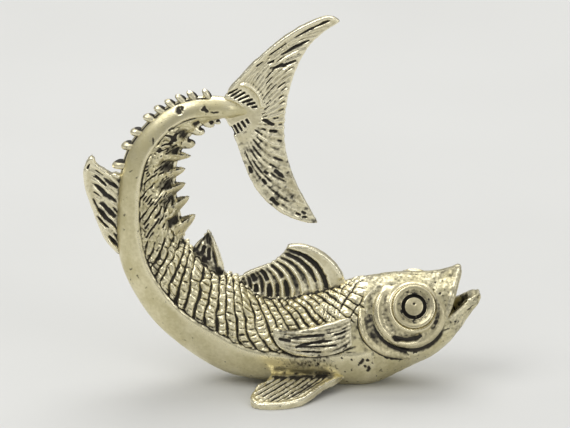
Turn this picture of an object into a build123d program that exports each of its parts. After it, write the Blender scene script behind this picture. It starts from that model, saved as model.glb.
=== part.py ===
from build123d import *
import os
from math import ceil, cos, floor, hypot, radians, sin

# Cast metal fish, curled nose to tail, that stands on its belly and its two pelvic fins.
# +X points from the curl to the mouth, +Z is up and the fish's middle plane is Y = 0.
# Its right flank faces -Y. The origin is on the table, below the middle of the fish.

# Castings and how they seat in one another
wall = 1.0
solder_gap = 0.04
spigot_length = 1.2
fin_root_depth = 0.75

# Body sections from the mouth to the tail: belly x, belly z, back x, back z, half width
head_sections = [
    (19.85, 8.95, 19.10, 10.95, 1.00),
    (19.10, 7.55, 18.00, 12.00, 1.90),
    (17.80, 5.95, 16.70, 11.90, 2.40),
    (16.20, 4.05, 15.10, 11.45, 2.75),
    (14.10, 2.50, 12.90, 11.40, 3.10),
    (11.90, 1.20, 10.50, 11.30, 3.50),
]
trunk_sections = [
    (9.30, -0.05, 7.90, 10.85, 3.80),
    (6.00, -0.18, 5.20, 10.15, 3.90),
    (2.30, -0.05, 2.30, 9.35, 3.80),
    (-1.40, 0.30, -0.30, 8.85, 3.65),
    (-5.00, 0.90, -2.70, 9.40, 3.45),
    (-8.25, 2.50, -4.60, 10.95, 3.20),
    (-11.25, 4.85, -6.70, 11.70, 2.95),
    (-13.70, 7.60, -8.40, 13.30, 2.70),
    (-15.50, 10.95, -9.70, 15.20, 2.45),
    (-16.45, 14.25, -10.20, 17.55, 2.20),
    (-16.50, 17.65, -10.60, 19.55, 2.00),
    (-16.30, 20.85, -10.70, 21.40, 1.85),
    (-15.70, 23.85, -10.55, 23.15, 1.70),
    (-14.50, 26.15, -10.05, 24.45, 1.55),
    (-12.60, 28.30, -9.30, 25.90, 1.40),
    (-10.20, 29.70, -8.10, 27.05, 1.25),
    (-7.70, 30.10, -6.80, 27.70, 1.10),
    (-5.20, 29.85, -5.40, 27.85, 0.95),
    (-3.10, 29.15, -3.45, 27.85, 0.60),
]
cavity_sections = 15

# Open mouth: the corner, the two jaw lines and the thickness of the lips
mouth_corner = (16.30, 7.30)
upper_lip_end = (17.75, 12.10)
lower_lip_end = (19.75, 9.60)
lip_thickness = 0.50
mouth_depth = 1.60

# Cheek plate, eye and gill cover, set square to the side of the head
eye_x = 13.10
eye_z = 7.55
eye_tilt = 24.0
eye_radius = 2.15
eye_height = 0.45
eye_seat = 1.10
pupil_groove_radius = 1.28
pupil_radius = 0.95
pupil_recess = 0.40
pupil_height = 0.45
pupil_pin_radius = 0.40
pupil_pin_length = 0.70
cheek_offset = (-0.40, -0.40)
cheek_radius = 3.65
cheek_thickness = 0.30
gill_thickness = 0.25
gill_gap = 0.08
gill_top = (-5.25, 1.20)
gill_back = (-4.05, -3.75)
gill_bottom = (0.20, -4.75)

# Fins in the middle plane, outlines as x and z from the front of the root to its back
first_dorsal_thickness = 0.80
first_dorsal_front = [(6.35, 10.25), (5.75, 11.50), (3.90, 13.50), (1.50, 14.35), (0.30, 14.10)]
first_dorsal_back = [(0.30, 14.10), (-1.90, 12.20), (-4.00, 11.20), (-4.55, 10.65)]
first_dorsal_stations = (0.8, 4.8)
second_dorsal_thickness = 0.90
second_dorsal_front = [(-5.85, 11.10), (-6.30, 13.10), (-7.45, 16.00)]
second_dorsal_back = [(-7.45, 16.00), (-8.30, 15.00), (-9.05, 13.85)]
second_dorsal_stations = (5.8, 7.3)
anal_thickness = 0.80
anal_front = [(-15.95, 13.20), (-17.60, 14.90), (-19.00, 18.30), (-19.85, 22.10), (-19.05, 24.00)]
anal_back = [(-19.05, 24.00), (-18.40, 22.70), (-17.20, 22.05), (-15.95, 21.90)]
anal_stations = (8.8, 11.1)

# Tail fin: the upper lobe, the hollow trailing edge, the lower lobe and the buried tang
tail_thickness = 0.70
tail_upper = [
    (-6.10, 29.70), (-5.30, 31.40), (-2.10, 35.10), (1.90, 38.10), (4.40, 38.75), (5.70, 38.10)
]
tail_trailing = [
    (5.70, 38.10), (2.00, 34.70), (0.35, 29.70), (0.20, 24.50), (1.60, 20.20), (3.45, 16.80)
]
tail_lower = [
    (3.45, 16.80), (1.20, 17.20), (-2.50, 20.20), (-4.30, 24.50), (-5.10, 26.60), (-5.90, 28.05)
]
tail_tang_length = 1.90
tail_tang_taper = 0.55

# Finlet combs: where each finlet stands along the body sections, its height and its width
finlet_thickness = 0.80
dorsal_finlet_lean = 0.20
ventral_finlet_lean = 0.45
rail_depth = 0.45
rail_thickness = 0.50
dorsal_rail_stations = (8.1, 16.1)
dorsal_finlets = [
    (8.50, 1.45, 1.60),
    (9.52, 1.10, 1.35),
    (10.43, 0.90, 1.20),
    (11.35, 0.80, 1.15),
    (12.42, 0.95, 1.15),
    (13.44, 1.05, 1.10),
    (14.47, 0.95, 1.00),
    (15.30, 0.85, 0.90),
    (15.88, 0.70, 0.75),
]
ventral_rail_stations = (11.5, 16.2)
ventral_finlets = [
    (11.69, 1.10, 1.10),
    (12.46, 0.75, 1.05),
    (13.10, 0.65, 1.00),
    (13.76, 0.62, 0.95),
    (14.22, 0.58, 0.90),
    (14.65, 0.58, 0.85),
    (15.08, 0.60, 0.85),
    (15.54, 0.80, 0.85),
    (16.10, 0.75, 0.85),
]

# Pectoral fins, low leaves laid on the flanks, each with a peg into the wall
pectoral_thickness = 0.45
pectoral_upper = [(6.80, 7.75), (4.20, 7.25), (1.50, 6.55), (-1.00, 6.80)]
pectoral_lower = [(-1.00, 6.80), (-0.30, 4.90), (2.40, 3.95), (5.20, 4.30), (6.90, 5.00)]
pectoral_peg_place = (5.40, 6.00)
pectoral_peg_radius = 0.45
pectoral_peg_length = 0.80

# Pelvic fins, splayed down to the table: outline as x and share of the way from the outer edge to the root
pelvic_reach = 8.60
pelvic_root_offset = 2.14
pelvic_slope = 11.7
pelvic_thickness = 0.65
pelvic_foot_depth = 0.12
pelvic_front = [
    (7.00, 1.00), (5.70, 0.79), (4.20, 0.61), (2.90, 0.34), (1.70, 0.145), (-0.30, 0.015), (-2.60, 0.023)
]
pelvic_back = [
    (-2.60, 0.023), (-3.15, 0.20), (-2.75, 0.43), (-1.90, 0.64), (-1.30, 0.86), (-1.10, 1.00)
]
pelvic_tang_depth = 0.90

os.makedirs("parts", exist_ok=True)

sections = head_sections + trunk_sections
belly_line = [(section[0], section[1]) for section in trunk_sections]
back_line = [(section[2], section[3]) for section in trunk_sections]
body_reach = 3 * max(section[4] for section in sections)


def section_plane(section):
    """Plane of one body section: local x from belly to back, normal towards the tail."""
    middle = Vector((section[0] + section[2]) / 2, 0, (section[1] + section[3]) / 2)
    rise = Vector(section[2] - section[0], 0, section[3] - section[1])
    return Plane(origin=middle, x_dir=rise, z_dir=rise.cross(Vector(0, 1, 0)))


def right_body(stations, grow):
    """Right half of the body through the given sections, each one grown outwards."""
    with BuildPart() as body:
        for section in stations:
            half_depth = hypot(section[2] - section[0], section[3] - section[1]) / 2 + grow
            half_width = section[4] + grow
            with BuildSketch(section_plane(section)):
                with BuildLine():
                    EllipticalCenterArc(
                        (0, 0), half_depth, half_width, start_angle=180, arc_size=180
                    )
                    Line((half_depth, 0), (-half_depth, 0))
                make_face()
        loft()
    return body.part


def skin_point(body, start, direction):
    """Point where a ray from inside the body leaves it."""
    hits = []
    for face in body.faces():
        hits += [hit[0] for hit in face.find_intersection_points(Axis(start, direction))]
    return max(hits, key=lambda point: (point - Vector(*start)).dot(Vector(*direction)))


def on_line(line, station):
    """Point of a belly or back line at a station, which may lie between two sections."""
    first = min(floor(station), len(line) - 2)
    share = station - first
    return tuple(a + (b - a) * share for a, b in zip(line[first], line[first + 1]))


def outward(line, other, station):
    """Unit direction out of the body, away from the opposite line, at a station."""
    here = on_line(line, station)
    across = on_line(other, station)
    length = hypot(here[0] - across[0], here[1] - across[1])
    return ((here[0] - across[0]) / length, (here[1] - across[1]) / length)


def shifted(point, direction, distance):
    """Point moved along a direction of the middle plane."""
    return (point[0] + direction[0] * distance, point[1] + direction[1] * distance)


def at_distance(point, distance):
    """Point in the same direction from the origin, at the given distance from it."""
    return shifted((0, 0), point, distance / hypot(*point))


def followed(line, other, ends, depth):
    """Points along a belly or back line between two stations, sunk into the body."""
    first, last = ends
    inner = range(floor(first) + 1, ceil(last))
    return [
        shifted(on_line(line, station), outward(line, other, station), -depth)
        for station in (first, *inner, last)
    ]


def fin_sketch(edges, root):
    """Closed outline of a fin in the middle plane, with its root listed front to back."""
    with BuildSketch(Plane.XZ) as outline:
        with BuildLine():
            for edge in edges:
                Spline(*edge)
            Polyline(edges[-1][-1], *reversed(root), edges[0][0])
        make_face()
    return outline.sketch


def comb_solid(line, other, ends, finlets, lean, room):
    """Comb of finlets on a rail that follows the seam, with room all round for its seat."""
    outer = followed(line, other, ends, -2 * room)
    inner = followed(line, other, ends, rail_depth + room)
    with BuildPart() as comb:
        with BuildSketch(Plane.XZ):
            with BuildLine():
                Spline(*outer)
                Line(outer[-1], inner[-1])
                Spline(*reversed(inner))
                Line(inner[0], outer[0])
            make_face()
        extrude(amount=rail_thickness / 2 + room, both=True)
        for station, height, width in finlets:
            foot = on_line(line, station)
            away = outward(line, other, station)
            side = (-away[1], away[0]) if line is back_line else (away[1], -away[0])
            front = shifted(foot, side, -width / 2 - room)
            back = shifted(foot, side, width / 2 + room)
            tip = shifted(shifted(foot, away, height), side, lean)
            bulge = shifted(shifted(foot, away, height * 0.70), side, -width * 0.12)
            hollow = shifted(shifted(foot, away, height * 0.40), side, width * 0.32)
            with BuildSketch(Plane.XZ):
                with BuildLine():
                    ThreePointArc(front, bulge, tip)
                    ThreePointArc(tip, hollow, back)
                    Polyline(
                        back,
                        shifted(back, away, -rail_depth - room),
                        shifted(front, away, -rail_depth - room),
                        front,
                    )
                make_face()
            extrude(amount=finlet_thickness / 2 + room, both=True)
    return comb.part


def pelvic_blank(room):
    """Right pelvic fin with its tang, with room all round for the slot in the belly."""
    inward = Vector(0, cos(radians(pelvic_slope)), sin(radians(pelvic_slope)))
    sole = Plane(
        origin=(0, -pelvic_reach, -pelvic_foot_depth),
        x_dir=(1, 0, 0),
        z_dir=Vector(1, 0, 0).cross(inward),
    )
    length = (pelvic_reach - pelvic_root_offset) / cos(radians(pelvic_slope))
    front = [(x, share * length) for x, share in pelvic_front]
    back = [(x, share * length) for x, share in pelvic_back]
    depth = pelvic_tang_depth + room
    with BuildPart() as blank:
        with BuildSketch(sole.offset(-room)):
            with BuildLine():
                Spline(*front)
                Spline(*back)
                Polyline(
                    back[-1],
                    shifted(back[-1], (1, 1), depth),
                    shifted(front[0], (-1, 1), depth),
                    front[0],
                )
            make_face()
        extrude(amount=pelvic_thickness + 2 * room)
        split(bisect_by=Plane.XY, keep=Keep.TOP)
    return blank.part


# Right half of the outer form, the hollow of the trunk and the plane where the head joins it
fish_skin = right_body(sections, 0)
overlay_base = right_body(sections, solder_gap)
trunk_cavity = right_body(trunk_sections[:cavity_sections], -wall)
spigot_core = right_body(trunk_sections[:cavity_sections], -wall - solder_gap)
mouth_core = right_body(head_sections[1:], -lip_thickness)
gill_plane = section_plane(trunk_sections[0])

# Seat of the right eye, where its axis leaves the head, and the plane of the cheek plate
eye_direction = (0, -cos(radians(eye_tilt)), sin(radians(eye_tilt)))
eye_plane = Plane(
    origin=skin_point(fish_skin, (eye_x, 0, eye_z), eye_direction),
    x_dir=(1, 0, 0),
    z_dir=eye_direction,
)
cheek_plane = Plane(
    origin=eye_plane.from_local_coords(Vector(cheek_offset[0], cheek_offset[1], 0)),
    x_dir=(1, 0, 0),
    z_dir=eye_direction,
)

# Where the pectoral peg enters the right flank
peg_plane = Plane(
    origin=skin_point(fish_skin, (pectoral_peg_place[0], 0, pectoral_peg_place[1]), (0, -1, 0)),
    x_dir=(1, 0, 0),
    z_dir=(0, 1, 0),
)

# First dorsal fin and its seat in the back
with BuildPart() as first_dorsal_fin:
    outline = fin_sketch(
        [first_dorsal_front, first_dorsal_back],
        followed(back_line, belly_line, first_dorsal_stations, fin_root_depth),
    )
    extrude(outline, amount=first_dorsal_thickness / 2, both=True)

with BuildPart() as first_dorsal_seat:
    outline = fin_sketch(
        [first_dorsal_front, first_dorsal_back],
        followed(back_line, belly_line, first_dorsal_stations, fin_root_depth + solder_gap),
    )
    extrude(outline, amount=first_dorsal_thickness / 2 + solder_gap, both=True)

# Second dorsal fin and its seat in the back
with BuildPart() as second_dorsal_fin:
    outline = fin_sketch(
        [second_dorsal_front, second_dorsal_back],
        followed(back_line, belly_line, second_dorsal_stations, fin_root_depth),
    )
    extrude(outline, amount=second_dorsal_thickness / 2, both=True)

with BuildPart() as second_dorsal_seat:
    outline = fin_sketch(
        [second_dorsal_front, second_dorsal_back],
        followed(back_line, belly_line, second_dorsal_stations, fin_root_depth + solder_gap),
    )
    extrude(outline, amount=second_dorsal_thickness / 2 + solder_gap, both=True)

# Anal fin and its seat in the belly
with BuildPart() as anal_fin:
    outline = fin_sketch(
        [anal_front, anal_back],
        followed(belly_line, back_line, anal_stations, fin_root_depth),
    )
    extrude(outline, amount=anal_thickness / 2, both=True)

with BuildPart() as anal_seat:
    outline = fin_sketch(
        [anal_front, anal_back],
        followed(belly_line, back_line, anal_stations, fin_root_depth + solder_gap),
    )
    extrude(outline, amount=anal_thickness / 2 + solder_gap, both=True)

# Tail fin, its tang held between the two trunk halves
tang_top = shifted(tail_upper[0], (-tail_tang_length, -tail_tang_taper), 1)
tang_bottom = shifted(tail_lower[-1], (-tail_tang_length, tail_tang_taper), 1)
with BuildPart() as tail_fin:
    outline = fin_sketch([tail_upper, tail_trailing, tail_lower], [tang_top, tang_bottom])
    extrude(outline, amount=tail_thickness / 2, both=True)

with BuildPart() as tail_seat:
    outline = fin_sketch(
        [tail_upper, tail_trailing, tail_lower],
        [shifted(tang_top, (-1, 1), solder_gap), shifted(tang_bottom, (-1, -1), solder_gap)],
    )
    extrude(outline, amount=tail_thickness / 2 + solder_gap, both=True)

# Finlet combs along the back and the belly, and their seats
dorsal_plan = (back_line, belly_line, dorsal_rail_stations, dorsal_finlets, dorsal_finlet_lean)
ventral_plan = (belly_line, back_line, ventral_rail_stations, ventral_finlets, ventral_finlet_lean)
dorsal_comb = comb_solid(*dorsal_plan, 0)
dorsal_seat = comb_solid(*dorsal_plan, solder_gap)
ventral_comb = comb_solid(*ventral_plan, 0)
ventral_seat = comb_solid(*ventral_plan, solder_gap)

with BuildPart() as dorsal_finlet_comb:
    add(dorsal_comb)

with BuildPart() as ventral_finlet_comb:
    add(ventral_comb)

# Pelvic fins, their tangs in slots of the belly
pelvic_right_blank = pelvic_blank(0)
pelvic_seat = pelvic_blank(solder_gap)

with BuildPart() as pelvic_fin_right:
    add(pelvic_right_blank)

with BuildPart() as pelvic_fin_left:
    mirror(pelvic_fin_right.part, about=Plane.XZ)

# Hole for the right pectoral peg
with BuildPart() as peg_seat:
    with BuildSketch(peg_plane):
        Circle(pectoral_peg_radius + solder_gap)
    extrude(amount=pectoral_peg_length + solder_gap, both=True)

# Right half of the hollow trunk, open towards the head, with the seats of its fins
trunk_seats = [
    first_dorsal_seat.part,
    second_dorsal_seat.part,
    anal_seat.part,
    tail_seat.part,
    dorsal_seat,
    ventral_seat,
    pelvic_seat,
    peg_seat.part,
]
with BuildPart() as trunk_right:
    add(fish_skin)
    split(bisect_by=gill_plane, keep=Keep.TOP)
    add(trunk_cavity, mode=Mode.SUBTRACT)
    split(bisect_by=Plane.XY, keep=Keep.TOP)
    add(trunk_seats, mode=Mode.SUBTRACT)

with BuildPart() as trunk_left:
    mirror(trunk_right.part, about=Plane.XZ)

# Round pocket for the right eye, the hollow behind the lips and the spigot into the trunk
with BuildPart() as eye_pocket:
    with BuildSketch(eye_plane.offset(-eye_seat)):
        Circle(eye_radius + solder_gap)
    extrude(amount=body_reach)

mouth_back = Plane(origin=(mouth_corner[0] - mouth_depth, 0, 0), x_dir=(0, 1, 0), z_dir=(1, 0, 0))
with BuildPart() as mouth_hollow:
    add(mouth_core)
    split(bisect_by=mouth_back, keep=Keep.TOP)

with BuildPart() as spigot:
    add(spigot_core)
    split(bisect_by=gill_plane.offset(spigot_length), keep=Keep.BOTTOM)

# Head with its open mouth
upper_run = (upper_lip_end[0] - mouth_corner[0], upper_lip_end[1] - mouth_corner[1])
lower_run = (lower_lip_end[0] - mouth_corner[0], lower_lip_end[1] - mouth_corner[1])
with BuildPart() as head:
    add(fish_skin)
    split(bisect_by=gill_plane, keep=Keep.BOTTOM)
    split(bisect_by=Plane.XY, keep=Keep.TOP)
    with BuildSketch(Plane.XZ):
        with BuildLine():
            Polyline(
                mouth_corner,
                shifted(mouth_corner, lower_run, 3),
                shifted(shifted(mouth_corner, upper_run, 3), lower_run, 3),
                shifted(mouth_corner, upper_run, 3),
                mouth_corner,
            )
        make_face()
    extrude(amount=body_reach, both=True, mode=Mode.SUBTRACT)
    add(mouth_hollow.part, mode=Mode.SUBTRACT)
    add(eye_pocket.part, mode=Mode.SUBTRACT)
    add(spigot.part)
    mirror(about=Plane.XZ)

# Cheek plates, dished discs round the eyes
cheek_skin = right_body(sections, cheek_thickness)
with BuildPart() as cheek_plate_right:
    with BuildSketch(cheek_plane.offset(-body_reach / 4)):
        Circle(cheek_radius)
    extrude(amount=body_reach)
    add(cheek_skin, mode=Mode.INTERSECT)
    add(overlay_base, mode=Mode.SUBTRACT)
    add(eye_pocket.part, mode=Mode.SUBTRACT)

with BuildPart() as cheek_plate_left:
    mirror(cheek_plate_right.part, about=Plane.XZ)

# Gill covers, crescents behind the cheek plates
gill_skin = right_body(sections, gill_thickness)
gill_inner_radius = cheek_radius + gill_gap
inner_top = at_distance(gill_top, gill_inner_radius)
inner_back = at_distance(gill_back, gill_inner_radius)
inner_bottom = at_distance(gill_bottom, gill_inner_radius)
with BuildPart() as gill_cover_right:
    with BuildSketch(cheek_plane.offset(-body_reach / 4)):
        with BuildLine():
            ThreePointArc(gill_top, gill_back, gill_bottom)
            Line(gill_bottom, inner_bottom)
            ThreePointArc(inner_bottom, inner_back, inner_top)
            Line(inner_top, gill_top)
        make_face()
    extrude(amount=body_reach)
    add(gill_skin, mode=Mode.INTERSECT)
    add(overlay_base, mode=Mode.SUBTRACT)

with BuildPart() as gill_cover_left:
    mirror(gill_cover_right.part, about=Plane.XZ)

# Eyes, round bosses in the pockets, each with a recess and a bore for its pupil
with BuildPart() as eye_right:
    with BuildSketch(eye_plane.offset(-eye_seat + solder_gap)):
        Circle(eye_radius)
    extrude(amount=eye_seat - solder_gap + eye_height)
    with BuildSketch(eye_plane.offset(eye_height - pupil_recess)):
        Circle(pupil_groove_radius)
    extrude(amount=pupil_recess, mode=Mode.SUBTRACT)
    with BuildSketch(eye_plane.offset(eye_height - pupil_recess)):
        Circle(pupil_pin_radius + solder_gap)
    extrude(amount=-pupil_pin_length - solder_gap, mode=Mode.SUBTRACT)

with BuildPart() as eye_left:
    mirror(eye_right.part, about=Plane.XZ)

# Pupils, flat buttons on a pin
with BuildPart() as pupil_right:
    with BuildSketch(eye_plane.offset(eye_height - pupil_recess)):
        Circle(pupil_radius)
    extrude(amount=pupil_height)
    with BuildSketch(eye_plane.offset(eye_height - pupil_recess)):
        Circle(pupil_pin_radius)
    extrude(amount=-pupil_pin_length)

with BuildPart() as pupil_left:
    mirror(pupil_right.part, about=Plane.XZ)

# Pectoral fins, each with its peg
pectoral_skin = right_body(sections, pectoral_thickness)
with BuildPart() as pectoral_fin_right:
    with BuildSketch(Plane.XZ):
        with BuildLine():
            Spline(*pectoral_upper)
            Spline(*pectoral_lower)
            Line(pectoral_lower[-1], pectoral_upper[0])
        make_face()
    extrude(amount=body_reach)
    add(pectoral_skin, mode=Mode.INTERSECT)
    add(overlay_base, mode=Mode.SUBTRACT)
    with BuildSketch(peg_plane.offset(-pectoral_thickness / 2)):
        Circle(pectoral_peg_radius)
    extrude(amount=pectoral_thickness / 2 + pectoral_peg_length)

with BuildPart() as pectoral_fin_left:
    mirror(pectoral_fin_right.part, about=Plane.XZ)

for name, piece in (
    ("trunk_right", trunk_right),
    ("trunk_left", trunk_left),
    ("head", head),
    ("cheek_plate_right", cheek_plate_right),
    ("cheek_plate_left", cheek_plate_left),
    ("gill_cover_right", gill_cover_right),
    ("gill_cover_left", gill_cover_left),
    ("eye_right", eye_right),
    ("eye_left", eye_left),
    ("pupil_right", pupil_right),
    ("pupil_left", pupil_left),
    ("first_dorsal_fin", first_dorsal_fin),
    ("second_dorsal_fin", second_dorsal_fin),
    ("anal_fin", anal_fin),
    ("tail_fin", tail_fin),
    ("dorsal_finlet_comb", dorsal_finlet_comb),
    ("ventral_finlet_comb", ventral_finlet_comb),
    ("pectoral_fin_right", pectoral_fin_right),
    ("pectoral_fin_left", pectoral_fin_left),
    ("pelvic_fin_right", pelvic_fin_right),
    ("pelvic_fin_left", pelvic_fin_left),
):
    piece.part.label = name
    export_step(piece.part, f"parts/{name}.step")
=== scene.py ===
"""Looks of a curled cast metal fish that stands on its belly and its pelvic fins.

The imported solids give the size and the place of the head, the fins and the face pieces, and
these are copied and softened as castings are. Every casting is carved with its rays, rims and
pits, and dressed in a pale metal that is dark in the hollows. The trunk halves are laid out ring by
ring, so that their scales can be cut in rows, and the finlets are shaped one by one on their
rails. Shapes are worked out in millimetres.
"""

import logging
import math
from collections.abc import Sequence
from dataclasses import dataclass, field
from enum import Enum

import bpy
import numpy as np
from mathutils import Euler, Matrix, Vector

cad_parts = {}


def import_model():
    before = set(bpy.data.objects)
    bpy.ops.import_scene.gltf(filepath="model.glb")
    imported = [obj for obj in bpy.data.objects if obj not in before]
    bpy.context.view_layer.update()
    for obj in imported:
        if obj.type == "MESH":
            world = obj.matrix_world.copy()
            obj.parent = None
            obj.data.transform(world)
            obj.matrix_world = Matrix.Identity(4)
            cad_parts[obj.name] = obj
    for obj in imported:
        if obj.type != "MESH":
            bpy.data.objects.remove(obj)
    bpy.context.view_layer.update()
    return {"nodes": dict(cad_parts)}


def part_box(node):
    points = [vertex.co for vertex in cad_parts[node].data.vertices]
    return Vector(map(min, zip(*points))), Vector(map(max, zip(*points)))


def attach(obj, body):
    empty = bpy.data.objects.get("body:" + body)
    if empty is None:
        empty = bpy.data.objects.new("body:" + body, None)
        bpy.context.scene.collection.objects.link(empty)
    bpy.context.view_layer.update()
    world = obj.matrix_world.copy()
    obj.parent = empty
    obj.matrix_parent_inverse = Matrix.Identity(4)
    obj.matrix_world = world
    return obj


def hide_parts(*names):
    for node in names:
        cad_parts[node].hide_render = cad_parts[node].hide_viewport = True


LOG = logging.getLogger("fish")
MM = 0.001
BODY = "root"

Point = tuple[float, float]
Path = Sequence[Point] | np.ndarray
Colour = tuple[float, float, float]


class View(Enum):
    """Axes of the flat view in which a piece is carved."""

    SIDE = (0, 2)
    PLAN = (0, 1)


class Slot(Enum):
    """Material slots of the castings."""

    BODY = "body_metal"
    FIN = "fin_metal"
    FACE = "face_metal"


class SmoothLine:
    """Natural cubic spline through rows of numbers, one row at each whole station."""

    def __init__(self, rows: Sequence, first: float = 0.0) -> None:
        """Solve the bends of the spline.

        Args:
            rows: rows, or single numbers, that the spline passes through.
            first: station of the first row.
        """
        self.rows = np.array(rows, float).reshape(len(rows), -1)
        self.first = first
        self.last = len(self.rows) - 1
        system = np.eye(self.last + 1)
        for i in range(1, self.last):
            system[i, i - 1:i + 2] = (1, 4, 1)
        bend = np.zeros_like(self.rows)
        bend[1:-1] = 6 * (self.rows[2:] - 2 * self.rows[1:-1] + self.rows[:-2])
        self.bends = np.linalg.solve(system, bend)

    def at(self, stations: np.ndarray | Sequence[float]) -> np.ndarray:
        """Rows at the given stations.

        Args:
            stations: places along the line, counted in rows.
        Returns:
            One row for each station.
        """
        place = np.asarray(stations, float) - self.first
        lower = np.clip(np.floor(place).astype(int), 0, max(self.last - 1, 0))
        share = (place - lower)[:, None]
        back = 1 - share
        straight = self.rows[lower] * back + self.rows[lower + 1] * share
        bend_back = (back ** 3 - back) * self.bends[lower] / 6
        bend_ahead = (share ** 3 - share) * self.bends[lower + 1] / 6
        return straight + bend_back + bend_ahead

    def spread(self, count: int) -> np.ndarray:
        """Rows at evenly spaced stations from the first to the last."""
        return self.share(np.linspace(0, 1, count))

    def share(self, shares: np.ndarray | Sequence[float]) -> np.ndarray:
        """Rows at shares of the whole line, from 0 to 1."""
        return self.at(np.asarray(shares, float) * self.last + self.first)


def smooth_step(values: np.ndarray, low: float, high: float) -> np.ndarray:
    """Smooth rise from 0 at low to 1 at high."""
    share = np.clip((values - low) / (high - low), 0, 1)
    return share * share * (3 - 2 * share)


def window(values: np.ndarray, low: float, high: float, soft: float) -> np.ndarray:
    """1 between low and high, with soft ends, and 0 elsewhere."""
    half = soft / 2
    risen = smooth_step(values, low - half, low + half)
    return risen * (1 - smooth_step(values, high - half, high + half))


# Large numbers that stir the digits of a value until they look random
SINE_STIR = 43758.5453
LATTICE_STIR = np.array((374761393, 668265263, 2147483647), np.uint64)
SEED_STIR = 362437
LAST_STIR = np.uint64(1274126177)

# The lattice of the noise is turned, so that its lumps don't line up with the frame
NOISE_TURN = np.array(Euler((0.7, 0.6, 0.5)).to_matrix())


def fraction(values: np.ndarray) -> np.ndarray:
    """Seemingly random share of each value, from 0 to 1."""
    mixed = np.sin(values) * SINE_STIR
    return mixed - np.floor(mixed)


def lattice_noise(points: np.ndarray, size: float, seed: int) -> np.ndarray:
    """Smooth noise from -1 to 1 with lumps of one size.

    Args:
        points: places, one per row, with three columns.
        size: distance between lumps.
        seed: choice of the lumps.
    Returns:
        One value for each place.
    """
    places = points @ NOISE_TURN / size
    cell = np.floor(places).astype(np.int64)
    share = places - cell
    share = share * share * (3 - 2 * share)
    total = np.zeros(len(points))
    for corner in np.ndindex(2, 2, 2):
        spot = (cell + corner).astype(np.uint64) & np.uint64(0xFFFF)
        mixed = spot @ LATTICE_STIR + np.uint64(seed * SEED_STIR + 7)
        mixed = (mixed ^ (mixed >> np.uint64(13))) * LAST_STIR & np.uint64(0xFFFFFFFF)
        value = ((mixed ^ (mixed >> np.uint64(16))) & np.uint64(0xFFFF)).astype(float) / 32767.5 - 1
        total += value * np.where(corner, share, 1 - share).prod(1)
    return total


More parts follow.
